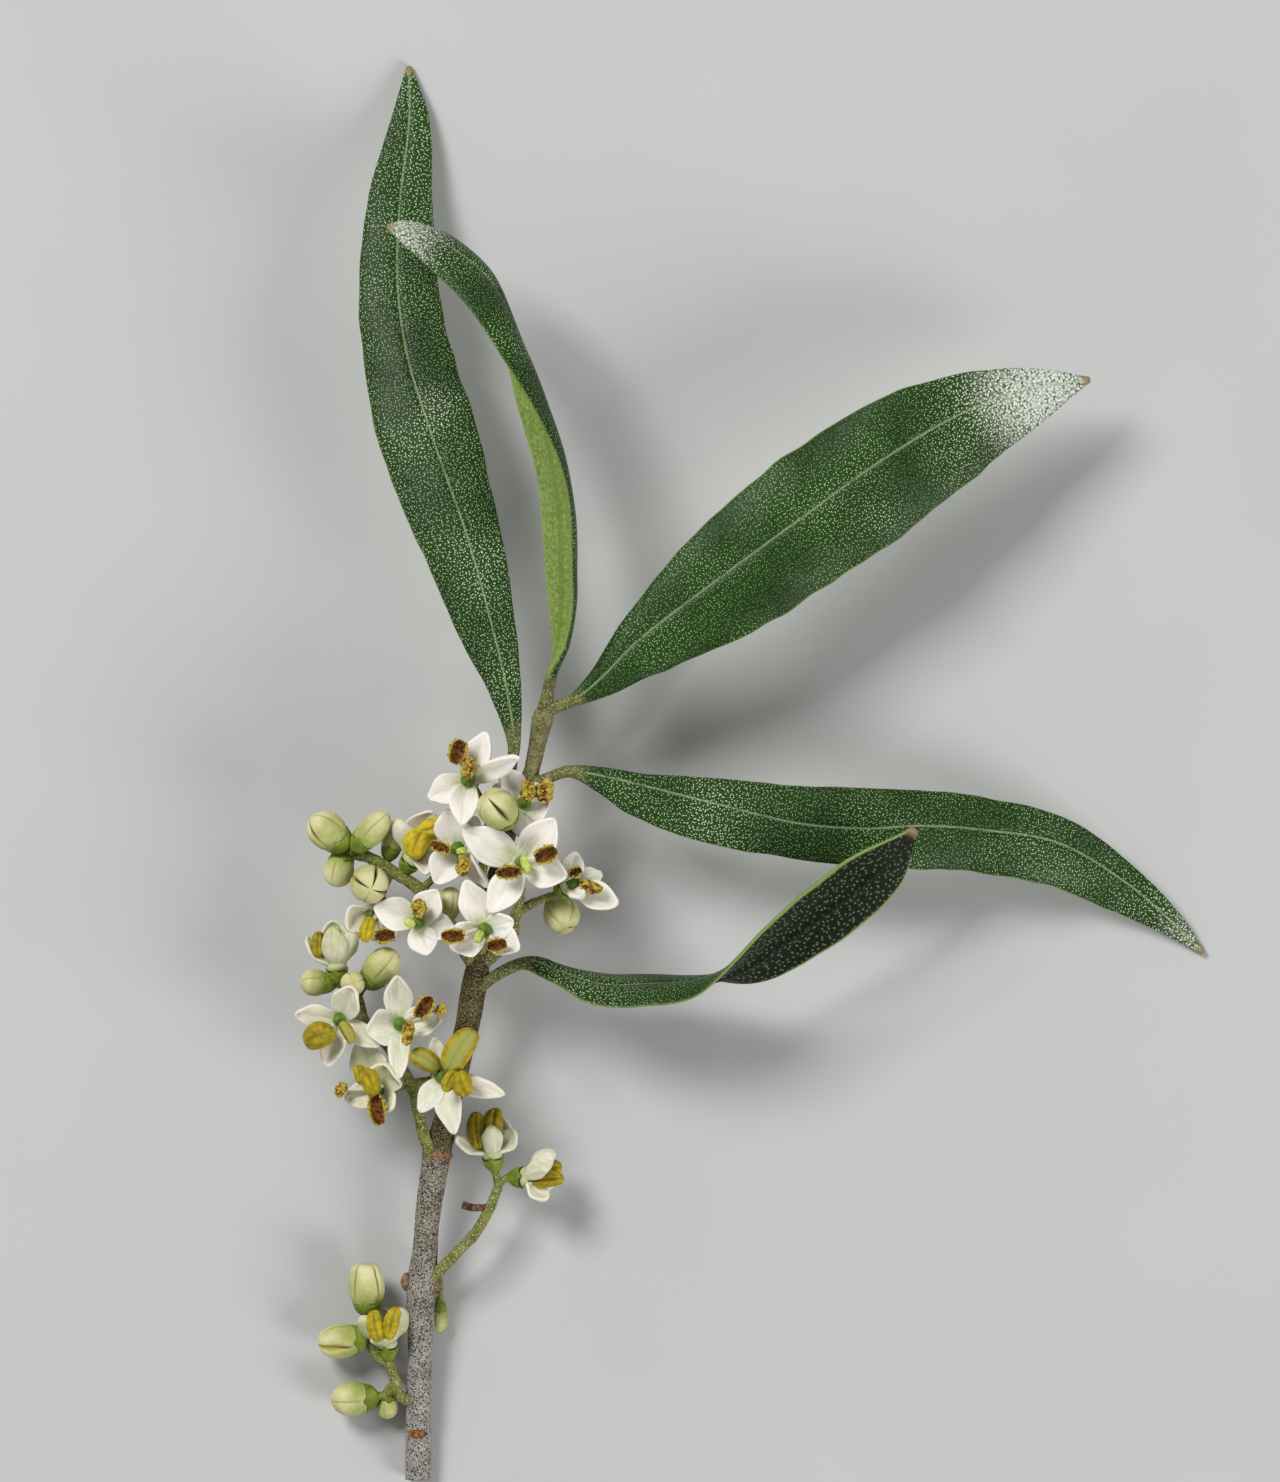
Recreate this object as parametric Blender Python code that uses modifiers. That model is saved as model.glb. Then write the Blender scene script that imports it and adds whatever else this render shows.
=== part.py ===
# Olive branch in flower, laid down on a table: one stem, five leaves, seven flower sprays, open flowers and
# buds. All is drawn in millimetres with the cut end of the stem at x = 0, y = 0, the table at z = 0 and
# the stem running along +Y. The branch hangs from one empty, which makes it metres and centres its base.
import math

import bmesh
import bpy
from mathutils import Matrix, Vector

for old in list(bpy.data.objects):
    bpy.data.objects.remove(old, do_unlink=True)

BRANCH = "olive_branch"
METRES_PER_MM = 0.001
UP = Vector((0.0, 0.0, 1.0))
WELD = 0.0001

# The gap between a calyx and the bud or flower that sits on it.
JOINT_GAP = 0.08

# Columns across a leaf and a petal, from the left edge to the right one, and a petal's thickness.
BLADE_COLUMNS = (-1.0, -0.78, -0.4, 0.0, 0.4, 0.78, 1.0)
PETAL_COLUMNS = (-1.0, -0.42, 0.42, 1.0)
PETAL_THICK = 0.6
LEAF_STATIONS = 16

# A petal's width along it, as share of its length and share of its half width, and how far its sides bend in.
PETAL_SHAPE = ((0.0, 0.50), (0.28, 0.82), (0.58, 1.00), (0.86, 0.66), (1.0, 0.22))
PETAL_BEND = 26
PETAL_START_UP = 0.40
PETAL_START_OUT = 0.25

# Turned shapes: radius and height above the foot. A calyx's radii and all of a bud's numbers are shares of
# its radius and length.
CALYX_SHAPE = ((0.80, -0.55), (1.00, 0.0))
CALYX_FOOT = (0.30, -1.00)
BUD_CALYX_SHARE = 0.80
FLOWER_CALYX_RADIUS = 0.85
BUD_FOOT_SHARE = 0.76
BUD_SHAPE = ((1.01, 0.32), (0.95, 0.64), (0.60, 0.89), (0.16, 1.00))
THROAT_SHAPE = ((0.62, JOINT_GAP), (0.85, 0.40), (0.80, 0.80))
OVARY_HEIGHT = 0.85
OVARY_HALF_LENGTH = 0.75
OVARY_RADIUS = 0.52

# Thin stalks and filaments.
STALK_RADIUS = 0.30
STALK_END_RADIUS = 0.32
STALK_END_BELOW = 0.8
FILAMENT_RADIUS = 0.30
FILAMENT_START_UP = 0.5
FILAMENT_START_OUT = 0.45
FILAMENT_RISE = 0.25
ANTHER_THICKNESS_SHARE = 0.42

# Colours from the photograph as linear red, green, blue, and roughness.
FINISHES = {
    "bark": ((0.220, 0.190, 0.160), 0.80),
    "leaf": ((0.030, 0.100, 0.028), 0.50),
    "stalk": ((0.230, 0.270, 0.080), 0.60),
    "bud": ((0.520, 0.560, 0.250), 0.45),
    "petal": ((0.800, 0.800, 0.660), 0.50),
}

# Stem: x, y, z, radius. It swells where leaves and sprays leave it.
STEM = [
    (0.0, 0.0, 1.00, 1.00),
    (0.1, 6.6, 1.60, 1.00),
    (0.2, 12.0, 2.30, 1.02),
    (0.3, 15.4, 2.75, 1.18),
    (0.6, 18.5, 3.10, 1.02),
    (0.9, 21.8, 3.50, 1.00),
    (1.6, 26.2, 4.10, 1.12),
    (2.4, 29.5, 4.60, 0.95),
    (3.2, 33.0, 5.10, 0.96),
    (4.1, 37.0, 5.80, 0.98),
    (4.7, 40.4, 6.40, 1.02),
    (5.1, 42.4, 6.80, 0.74),
    (6.0, 47.4, 7.40, 0.66),
    (7.6, 52.5, 8.00, 0.62),
    (8.8, 55.6, 8.40, 0.78),
    (9.2, 57.0, 8.50, 0.62),
    (9.7, 59.4, 8.80, 0.70),
    (10.1, 61.2, 9.00, 0.85),
    (10.3, 62.1, 9.10, 0.50),
]
# Bumps on the stem: centre, half sizes. A leaf scar near the cut, two old bud bases, the end bud.
STEM_BUMPS = [
    ((0.0, 3.7, 2.00), (0.75, 0.45, 0.55)),
    ((-0.85, 15.9, 2.95), (0.50, 0.75, 0.60)),
    ((1.35, 15.4, 2.80), (0.45, 0.80, 0.60)),
    ((10.5, 62.3, 9.30), (0.40, 0.60, 0.40)),
]

# Leaves: x, y, z of the midrib, width left and right of it, turn about the midrib, bend of each half,
# thickness. Angles are in degrees.
LEAVES = {
    "leaf_1": [
        (7.50, 56.4, 9.20, 0.50, 0.50, 0, 0, 0, 1.00),
        (7.80, 59.0, 9.80, 0.55, 0.50, 0, 0, 0, 0.95),
        (7.20, 63.4, 10.5, 1.50, 1.20, 0, 10, 10, 0.75),
        (6.40, 67.0, 10.9, 2.60, 1.70, 0, 18, 18, 0.65),
        (4.10, 75.4, 11.0, 3.90, 2.80, 0, 20, 20, 0.62),
        (1.30, 83.4, 9.90, 4.30, 3.70, 0, 20, 20, 0.62),
        (-0.80, 90.2, 8.20, 3.70, 3.60, 0, 20, 20, 0.62),
        (-1.60, 96.2, 6.20, 3.10, 3.30, 0, 18, 18, 0.62),
        (-1.40, 102.6, 3.90, 2.60, 2.70, 0, 14, 14, 0.62),
        (-0.70, 109.0, 1.60, 1.50, 1.70, 0, 10, 10, 0.60),
        (-0.70, 113.4, 0.32, 0.25, 0.25, 0, 0, 0, 0.60),
    ],
    "leaf_2": [
        (11.1, 62.0, 9.30, 0.50, 0.50, 0, 0, 0, 1.00),
        (12.6, 62.6, 9.80, 0.55, 0.60, 0, 0, 0, 0.95),
        (14.6, 64.2, 10.3, 1.00, 1.60, 0, 10, 10, 0.75),
        (17.8, 67.4, 10.9, 2.10, 3.40, 0, 18, 18, 0.65),
        (24.2, 72.3, 11.6, 4.00, 5.20, 0, 18, 22, 0.62),
        (30.6, 77.0, 11.6, 4.80, 5.90, 0, 18, 25, 0.62),
        (37.0, 81.6, 10.9, 4.60, 6.00, 0, 18, 25, 0.62),
        (43.4, 85.4, 9.60, 3.30, 4.90, 0, 16, 22, 0.62),
        (49.0, 87.4, 8.10, 1.80, 3.10, 0, 12, 15, 0.62),
        (53.8, 88.2, 6.60, 0.25, 0.25, 0, 0, 0, 0.60),
    ],
    "leaf_3": [
        (10.5, 63.2, 9.60, 0.50, 0.50, -60, 0, 0, 1.00),
        (10.8, 64.6, 10.2, 0.80, 0.70, -90, 20, 10, 0.90),
        (11.7, 67.4, 11.0, 2.20, 1.40, -120, 45, 15, 0.70),
        (11.9, 73.8, 12.2, 3.40, 2.20, -128, 60, 20, 0.62),
        (11.4, 80.2, 13.0, 3.70, 2.60, -125, 60, 25, 0.62),
        (10.2, 85.8, 13.6, 3.70, 3.00, -112, 60, 35, 0.62),
        (8.20, 91.4, 14.0, 3.70, 3.40, -88, 60, 50, 0.62),
        (5.70, 96.1, 13.9, 3.40, 3.40, -62, 55, 55, 0.62),
        (2.30, 98.9, 13.2, 2.60, 2.60, -52, 50, 50, 0.62),
        (-0.60, 100.1, 12.3, 1.40, 1.40, -45, 40, 40, 0.62),
        (-2.30, 100.3, 11.6, 0.25, 0.25, -45, 0, 0, 0.60),
    ],
    "leaf_4": [
        (10.0, 56.1, 8.90, 0.50, 0.50, 0, 0, 0, 1.00),
        (12.2, 56.85, 9.3, 0.50, 0.50, 0, 0, 0, 0.95),
        (14.8, 56.5, 9.50, 0.70, 1.40, 0, 8, 8, 0.75),
        (17.8, 55.8, 9.60, 1.00, 2.60, 0, 12, 12, 0.65),
        (24.2, 54.2, 9.40, 2.20, 3.30, 0, 15, 15, 0.62),
        (30.6, 52.7, 8.90, 3.10, 3.00, 0, 15, 15, 0.62),
        (36.2, 52.3, 8.10, 3.20, 3.10, 0, 15, 15, 0.62),
        (40.2, 52.5, 7.40, 2.90, 3.50, 0, 15, 15, 0.62),
        (45.0, 52.2, 6.30, 2.70, 3.50, 0, 15, 15, 0.62),
        (51.4, 51.1, 4.30, 2.00, 3.50, 0, 12, 12, 0.62),
        (57.0, 47.8, 2.20, 1.40, 2.60, 0, 10, 10, 0.62),
        (60.6, 44.7, 1.00, 0.90, 1.20, 0, 5, 5, 0.62),
        (63.0, 42.3, 0.32, 0.25, 0.25, 0, 0, 0, 0.60),
    ],
    "leaf_5": [
        (5.95, 40.3, 6.70, 0.50, 0.50, 0, 0, 0, 1.00),
        (7.40, 41.1, 6.90, 0.50, 0.50, 15, 0, 0, 0.98),
        (8.80, 41.5, 7.10, 0.60, 0.60, 40, 0, 0, 0.90),
        (11.0, 40.9, 7.30, 1.50, 1.50, 60, 12, 12, 0.70),
        (14.6, 39.8, 7.50, 2.90, 2.90, 65, 15, 15, 0.62),
        (19.4, 39.8, 7.90, 3.20, 3.20, 69, 15, 15, 0.62),
        (22.6, 40.2, 8.30, 3.30, 3.30, 82, 12, 12, 0.62),
        (26.2, 41.4, 8.80, 3.40, 3.40, 112, 12, 12, 0.62),
        (29.8, 43.8, 9.40, 3.40, 3.40, 130, 12, 12, 0.62),
        (33.8, 46.7, 10.1, 3.40, 3.40, 137, 12, 12, 0.62),
        (37.0, 49.3, 10.8, 2.80, 2.80, 137, 10, 10, 0.62),
        (39.0, 51.3, 11.2, 1.30, 1.30, 130, 5, 5, 0.62),
        (39.8, 52.3, 11.4, 0.25, 0.25, 130, 0, 0, 0.60),
    ],
}

# Flower stalks of each spray: x, y, z, radius along every stalk, the first one rooted at the stem.
SPRAYS = {
    "spray_front": [
        [(5.0, 43.6, 8.05, 0.42), (4.9, 46.5, 9.2, 0.42), (5.4, 50.0, 9.5, 0.40), (5.7, 52.2, 9.9, 0.38),
         (5.8, 53.2, 10.1, 0.34)],
    ],
    "spray_left": [
        [(3.7, 42.6, 7.3, 0.46), (2.6, 44.6, 7.7, 0.44), (0.2, 47.4, 8.0, 0.42), (-2.0, 48.9, 8.1, 0.40),
         (-3.7, 49.9, 8.0, 0.38), (-5.4, 50.35, 7.9, 0.36)],
    ],
    "spray_right": [
        [(6.5, 42.4, 7.6, 0.46), (7.6, 43.4, 8.3, 0.46), (7.9, 45.4, 8.9, 0.44), (9.0, 46.2, 9.0, 0.40),
         (10.2, 46.7, 9.0, 0.36)],
        [(7.9, 45.2, 8.9, 0.42), (8.3, 47.0, 9.8, 0.40), (8.3, 48.6, 10.6, 0.36)],
    ],
    "spray_middle": [
        [(0.45, 27.9, 5.25, 0.46), (0.1, 29.6, 5.5, 0.46), (-0.6, 32.0, 5.9, 0.44), (-2.2, 34.6, 6.1, 0.42),
         (-4.2, 36.9, 6.0, 0.40), (-4.8, 38.8, 5.6, 0.38), (-5.9, 39.7, 5.4, 0.34)],
    ],
    "spray_low_right": [
        [(1.95, 17.0, 3.4, 0.44), (3.4, 18.5, 3.8, 0.44), (4.9, 20.2, 4.0, 0.44), (5.9, 22.1, 4.2, 0.42),
         (6.5, 23.6, 4.3, 0.38)],
        [(5.7, 21.9, 4.2, 0.32), (4.5, 21.9, 4.3, 0.30), (3.6, 22.1, 4.4, 0.30)],
    ],
    "spray_low_left": [
        [(-1.52, 6.9, 2.3, 0.40), (-1.75, 8.0, 2.6, 0.40), (-2.3, 9.5, 2.7, 0.36)],
        [(-2.2, 9.2, 2.5, 0.34), (-3.3, 9.9, 1.8, 0.32), (-3.95, 11.3, 1.9, 0.32), (-3.95, 12.8, 2.5, 0.32)],
    ],
    "spray_low_back": [
        [(1.6, 16.6, 1.45, 0.32), (1.75, 15.2, 1.2, 0.32), (1.7, 14.2, 1.1, 0.32)],
    ],
}

# Buds: spray, foot of the corolla, direction, length, diameter.
BUDS = {
    "bud_1": ("spray_front", (7.3, 53.6, 12.9), (-0.62, 0.28, 0.73), 3.0, 3.2),
    "bud_2": ("spray_left", (-6.2, 51.3, 8.6), (-0.75, 0.62, 0.15), 3.0, 3.0),
    "bud_3": ("spray_left", (-4.5, 51.2, 8.9), (0.68, 0.70, 0.15), 3.2, 2.3),
    "bud_4": ("spray_left", (-6.0, 49.8, 7.6), (-0.28, -0.93, 0.20), 2.3, 2.5),
    "bud_5": ("spray_left", (-3.9, 48.1, 9.6), (0.10, -0.22, 0.97), 2.9, 3.1),
    "bud_6": ("spray_right", (11.3, 46.0, 7.2), (0.25, -0.58, 0.78), 2.7, 2.9),
    "bud_7": ("spray_left", (2.5, 45.6, 8.8), (0.15, 0.85, 0.45), 2.2, 2.0),
    "bud_8": ("spray_left", (-2.1, 50.6, 7.5), (0.28, 0.93, 0.10), 2.6, 2.0),
    "bud_9": ("spray_middle", (-7.4, 39.9, 5.9), (-0.98, 0.05, 0.15), 2.0, 2.2),
    "bud_10": ("spray_middle", (-3.6, 40.3, 6.6), (0.62, 0.72, 0.30), 3.0, 2.8),
    "bud_11": ("spray_middle", (-5.2, 39.8, 7.1), (0.05, 0.08, 0.99), 1.8, 2.0),
    "bud_12": ("spray_low_left", (-4.0, 14.1, 2.7), (-0.06, 0.99, 0.10), 3.3, 2.9),
    "bud_13": ("spray_low_left", (-4.9, 11.3, 2.1), (-0.98, -0.12, 0.10), 3.1, 2.8),
    "bud_14": ("spray_low_left", (-4.1, 6.6, 2.0), (-0.98, -0.08, 0.08), 2.9, 2.8),
    "bud_15": ("spray_low_left", (-2.4, 6.45, 1.5), (-0.05, -0.98, -0.10), 1.6, 1.7),
    "bud_16": ("spray_low_back", (1.68, 13.6, 1.1), (-0.05, -0.99, 0.00), 1.8, 1.6),
}

# Flowers: spray, foot, direction, bow of the petals along it and outwards,
# petals (tip x, y, z, half width, twist), anthers (x, y, z, angle in the picture plane, length, width).
FLOWERS = {
    "flower_1": ("spray_front", (4.2, 56.1, 12.0), (-0.15, 0.10, 1.0), 0.30, 0.0,
                 [(5.6, 60.0, 12.7, 1.05, 0), (8.2, 58.2, 13.8, 0.90, 50),
                  (1.0, 54.7, 12.0, 1.10, 0), (3.6, 52.5, 13.1, 1.10, 0)],
                 [(3.3, 58.4, 14.0, 70, 2.0, 1.4), (4.2, 57.1, 14.2, 80, 1.6, 1.2)]),
    "flower_2": ("spray_front", (8.2, 54.1, 10.0), (0.40, 0.25, 0.85), 0.20, 0.0,
                 [(6.7, 57.0, 11.0, 0.85, 0), (10.6, 54.3, 10.3, 1.00, 0),
                  (8.5, 51.4, 10.7, 1.00, 0), (6.0, 55.6, 10.7, 0.70, 0)],
                 [(8.9, 55.3, 12.0, 80, 1.8, 1.2), (10.2, 55.3, 11.6, 80, 1.8, 1.5)]),
    "flower_3": ("spray_right", (8.3, 49.6, 11.6), (0.12, -0.10, 1.0), 0.30, 0.0,
                 [(3.7, 52.2, 12.0, 1.20, 0), (11.0, 53.2, 12.8, 1.30, 0),
                  (12.0, 48.5, 12.0, 1.30, 0), (5.7, 45.6, 12.6, 1.05, 0)],
                 [(10.3, 50.2, 13.6, 20, 1.9, 1.4), (7.4, 48.8, 14.0, 5, 2.0, 1.1)]),
    "flower_4": ("spray_left", (3.6, 50.8, 9.9), (-0.35, -0.10, 0.93), 0.25, 0.0,
                 [(2.5, 53.9, 11.0, 0.95, 0), (4.9, 53.2, 10.7, 0.60, 0),
                  (1.6, 47.8, 10.3, 1.10, 0), (5.8, 47.7, 10.9, 0.75, 40)],
                 [(1.9, 50.8, 11.9, -20, 1.8, 0.9), (3.7, 49.3, 12.2, 90, 1.6, 1.1)]),
    "flower_5": ("spray_left", (-0.6, 49.5, 8.4), (0.50, 0.72, 0.35), 0.10, 0.7,
                 [(1.3, 53.8, 8.6, 1.00, 0), (1.7, 50.1, 9.3, 0.95, 0),
                  (-1.3, 52.9, 10.2, 0.80, 0), (1.9, 52.0, 6.9, 0.95, 0)],
                 [(1.2, 52.1, 9.8, 20, 2.2, 1.4), (0.0, 51.0, 10.0, 60, 2.1, 1.8)]),
    "flower_6": ("spray_front", (5.4, 44.3, 11.0), (0.05, -0.10, 1.0), 0.25, 0.0,
                 [(3.9, 48.2, 11.9, 1.10, 0), (7.8, 45.0, 12.2, 1.00, 0),
                  (2.6, 42.8, 11.8, 1.15, 0), (8.3, 42.6, 12.4, 0.85, 0)],
                 [(2.95, 43.7, 13.2, 0, 1.9, 1.2), (6.45, 43.0, 13.4, 10, 1.6, 1.15)]),
    "flower_7": ("spray_left", (0.2, 44.8, 10.2), (-0.10, 0.05, 1.0), 0.25, 0.0,
                 [(1.7, 47.4, 11.0, 1.05, 0), (3.0, 44.2, 10.5, 1.05, 0),
                  (0.8, 42.2, 10.6, 1.05, 0), (-3.4, 46.1, 10.6, 1.15, 0)],
                 [(0.2, 45.9, 12.2, 90, 1.5, 1.2), (-0.9, 44.4, 12.0, 30, 1.2, 0.9)]),
    "flower_8": ("spray_left", (-3.2, 46.2, 7.6), (-0.35, -0.80, 0.30), 0.10, 0.5,
                 [(-5.6, 44.0, 8.2, 1.05, 0), (-2.6, 43.1, 6.0, 0.95, 0),
                  (-4.6, 43.6, 5.6, 0.90, 0), (-1.6, 44.2, 8.0, 0.90, 0)],
                 [(-3.9, 44.2, 8.6, 75, 2.1, 1.2), (-2.6, 43.7, 8.5, 5, 1.7, 1.2)]),
    "flower_9": ("spray_right", (11.8, 47.5, 10.1), (0.62, 0.40, 0.55), 0.20, 0.2,
                 [(16.1, 46.2, 10.2, 0.90, 0), (12.6, 50.4, 9.4, 0.85, 0),
                  (14.6, 48.6, 7.6, 0.85, 0), (13.4, 46.8, 11.9, 0.60, 0)],
                 [(12.7, 48.8, 11.6, 20, 1.1, 0.9), (13.9, 47.6, 11.4, -20, 1.9, 1.0)]),
    "flower_10": ("spray_middle", (-6.4, 40.8, 6.3), (-0.10, 0.97, 0.15), 0.10, 0.5,
                  [(-6.8, 45.0, 5.8, 1.00, 0), (-6.8, 43.9, 8.1, 0.90, 0),
                   (-9.0, 43.6, 6.8, 0.65, 0), (-5.1, 44.2, 7.0, 0.70, 0)],
                  [(-7.9, 43.0, 7.1, 85, 2.1, 1.1), (-6.4, 43.2, 7.0, 90, 2.1, 1.1)]),
    "flower_11": ("spray_middle", (-6.1, 36.9, 7.0), (-0.12, 0.10, 1.0), 0.25, 0.0,
                  [(-5.0, 39.8, 9.9, 0.95, 0), (-9.8, 37.4, 7.8, 0.85, 0),
                   (-2.9, 34.8, 7.8, 0.80, 0), (-7.2, 33.2, 7.6, 0.95, 0)],
                  [(-7.8, 35.6, 9.2, 20, 2.6, 2.2), (-5.6, 36.0, 9.0, -60, 2.0, 1.0)]),
    "flower_12": ("spray_middle", (-1.4, 36.7, 7.6), (0.05, -0.05, 1.0), 0.25, 0.0,
                  [(-1.6, 40.6, 8.8, 0.85, 0), (-4.1, 36.1, 8.7, 1.10, 0),
                   (-1.5, 32.2, 8.8, 0.85, 0), (2.1, 37.1, 8.9, 0.95, 0)],
                  [(0.6, 38.0, 10.2, 60, 2.0, 1.4), (-0.7, 35.9, 10.2, 80, 1.9, 1.0)]),
    "flower_13": ("spray_middle", (-2.4, 31.4, 6.4), (-0.72, -0.10, 0.60), 0.15, 0.2,
                  [(-4.8, 35.1, 6.4, 1.10, 0), (-2.5, 33.7, 9.2, 1.15, 0),
                   (-2.0, 29.6, 8.2, 0.85, 0), (-5.8, 30.6, 6.0, 0.90, 0)],
                  [(-4.0, 32.1, 8.8, -70, 2.3, 1.9), (-3.2, 29.8, 8.4, -80, 2.6, 1.4)]),
    "flower_14": ("spray_middle", (2.0, 32.4, 7.6), (0.0, 0.0, 1.0), 0.25, 0.0,
                  [(7.1, 31.0, 8.6, 0.95, 0), (3.0, 27.8, 8.4, 1.05, 0),
                   (0.2, 29.6, 8.3, 0.85, 0), (1.4, 35.6, 8.4, 0.70, 0)],
                  [(3.55, 34.5, 9.8, 60, 3.4, 2.3), (3.4, 31.9, 10.4, 10, 2.4, 1.9)]),
    "flower_15": ("spray_low_right", (6.1, 25.7, 4.5), (-0.15, 0.97, 0.15), 0.10, 0.5,
                  [(5.9, 29.8, 3.4, 0.95, 0), (5.7, 28.4, 6.3, 0.85, 0),
                   (3.0, 27.3, 4.9, 0.65, 0), (7.8, 28.2, 4.6, 0.75, 0)],
                  [(4.8, 28.0, 5.0, 95, 2.6, 1.2), (6.1, 28.5, 4.8, 92, 2.3, 1.3)]),
    "flower_16": ("spray_low_right", (8.2, 24.3, 4.3), (0.97, 0.0, 0.20), 0.10, 0.5,
                  [(11.0, 26.4, 5.2, 0.90, 0), (10.6, 22.6, 4.8, 0.75, 0),
                   (11.2, 24.0, 2.6, 0.85, 0), (10.8, 24.9, 6.9, 0.70, 0)],
                  [(10.5, 24.4, 4.9, 5, 2.3, 1.3), (10.4, 25.1, 3.8, 5, 2.0, 1.1)]),
    "flower_17": ("spray_low_left", (-2.4, 10.5, 2.9), (-0.10, 0.97, 0.20), 0.10, 0.4,
                  [(-4.3, 13.0, 3.9, 0.70, 0), (-3.2, 12.3, 5.0, 0.70, 0),
                   (-1.6, 13.9, 3.9, 0.85, 0), (-2.8, 13.8, 1.8, 0.85, 0)],
                  [(-3.3, 12.4, 3.8, 80, 2.4, 1.2), (-2.1, 12.5, 3.9, 80, 2.6, 1.2)]),
}



def finish(name):
    """The material of one kind of piece."""
    colour, roughness = FINISHES[name]
    material = bpy.data.materials.new(name)
    material.use_nodes = True
    shader = material.node_tree.nodes["Principled BSDF"]
    shader.inputs["Base Color"].default_value = (*colour, 1.0)
    shader.inputs["Roughness"].default_value = roughness
    shader.inputs["Metallic"].default_value = 0.0
    return material


branch = bpy.data.collections.new(BRANCH)
bpy.context.scene.collection.children.link(branch)
root = bpy.data.objects.new(BRANCH, None)
branch.objects.link(root)
materials = {name: finish(name) for name in FINISHES}


def route(rows, count):
    """Rows of a smooth path through the listed rows, evenly spaced along it."""
    knots = [0.0]
    for a, b in zip(rows, rows[1:]):
        knots.append(knots[-1] + math.dist(a[:3], b[:3]))
    last = len(rows) - 1

    def slope(i, k):
        lo = max(i - 1, 0)
        hi = min(i + 1, last)
        return (rows[hi][k] - rows[lo][k]) / (knots[hi] - knots[lo])

    out = []
    for j in range(count):
        s = knots[-1] * j / (count - 1)
        i = 0
        while i < last - 1 and s > knots[i + 1]:
            i += 1
        h = knots[i + 1] - knots[i]
        t = (s - knots[i]) / h
        w0 = 2 * t ** 3 - 3 * t ** 2 + 1
        w1 = (t ** 3 - 2 * t ** 2 + t) * h
        w2 = 3 * t ** 2 - 2 * t ** 3
        w3 = (t ** 3 - t ** 2) * h
        out.append([w0 * rows[i][k] + w1 * slope(i, k) + w2 * rows[i + 1][k] + w3 * slope(i + 1, k)
                    for k in range(len(rows[0]))])
    return out


def tangents(points):
    last = len(points) - 1
    return [(points[min(i + 1, last)] - points[max(i - 1, 0)]).normalized() for i in range(len(points))]


def add(name, data):
    """A new object of the branch."""
    ob = bpy.data.objects.new(name, data)
    branch.objects.link(ob)
    return ob


def evaluated_mesh(ob):
    """A copy of an object's mesh as its modifiers or its curve make it."""
    graph = bpy.context.evaluated_depsgraph_get()
    return bpy.data.meshes.new_from_object(ob.evaluated_get(graph))


def tube(name, rows, count, bevel_resolution):
    """A round bar along rows of x, y, z, radius, made from a curve and closed at both ends."""
    curve = bpy.data.curves.new(name, "CURVE")
    curve.dimensions = "3D"
    curve.bevel_depth = 1.0
    curve.bevel_resolution = bevel_resolution
    curve.use_fill_caps = True
    spline = curve.splines.new("POLY")
    spline.points.add(count - 1)
    for knot, (x, y, z, radius) in zip(spline.points, route(rows, count)):
        knot.co = (x, y, z, 1.0)
        knot.radius = radius
    guide = add(name, curve)
    mesh = evaluated_mesh(guide)
    bpy.data.objects.remove(guide, do_unlink=True)
    bm = bmesh.new()
    bm.from_mesh(mesh)
    bmesh.ops.remove_doubles(bm, verts=bm.verts, dist=WELD)
    bm.to_mesh(mesh)
    bm.free()
    return add(name, mesh)


def turned(name, foot, way, profile, steps):
    """A turned body that stands on its foot: profile rows are radius and height along the direction."""
    outline = [(0.0, 0.0, profile[-1][1])]
    outline += [(radius, 0.0, height) for radius, height in reversed(profile)]
    outline.append((0.0, 0.0, profile[0][1]))
    mesh = bpy.data.meshes.new(name)
    mesh.from_pydata(outline, [(i, i + 1) for i in range(len(outline) - 1)], [])
    ob = add(name, mesh)
    ob.location = foot
    ob.rotation_mode = "QUATERNION"
    ob.rotation_quaternion = way.to_track_quat("Z", "Y")
    screw = ob.modifiers.new("turn", "SCREW")
    screw.steps = steps
    screw.render_steps = steps
    screw.use_merge_vertices = True
    screw.merge_threshold = WELD
    return ob


def ball(name, centre, axes, segments, rings):
    """A ball stretched along three given half axes."""
    matrix = Matrix(axes).transposed().to_4x4()
    matrix.translation = centre
    bm = bmesh.new()
    bmesh.ops.create_uvsphere(bm, u_segments=segments, v_segments=rings, radius=1.0, matrix=matrix)
    bmesh.ops.recalc_face_normals(bm, faces=bm.faces)
    mesh = bpy.data.meshes.new(name)
    bm.to_mesh(mesh)
    bm.free()
    return add(name, mesh)


def loft(name, rings, lower_from):
    """A closed skin over unlike cross-sections. From the column lower_from on, the quads are split the other
    way, so that both faces of a blade have the same diagonals."""
    bm = bmesh.new()
    count = len(rings[0])
    corners = [[bm.verts.new(p) for p in ring] for ring in rings]
    for near, far in zip(corners, corners[1:]):
        for j in range(count):
            k = (j + 1) % count
            if j >= lower_from:
                bm.faces.new((near[j], near[k], far[j]))
                bm.faces.new((near[k], far[k], far[j]))
            else:
                bm.faces.new((near[j], near[k], far[k]))
                bm.faces.new((near[j], far[k], far[j]))
    for ring in (corners[0], corners[-1]):
        centre = bm.verts.new(sum((v.co for v in ring), Vector()) / count)
        for j in range(count):
            bm.faces.new((ring[j], ring[(j + 1) % count], centre))
    bmesh.ops.recalc_face_normals(bm, faces=bm.faces)
    mesh = bpy.data.meshes.new(name)
    bm.to_mesh(mesh)
    bm.free()
    return add(name, mesh)


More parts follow.
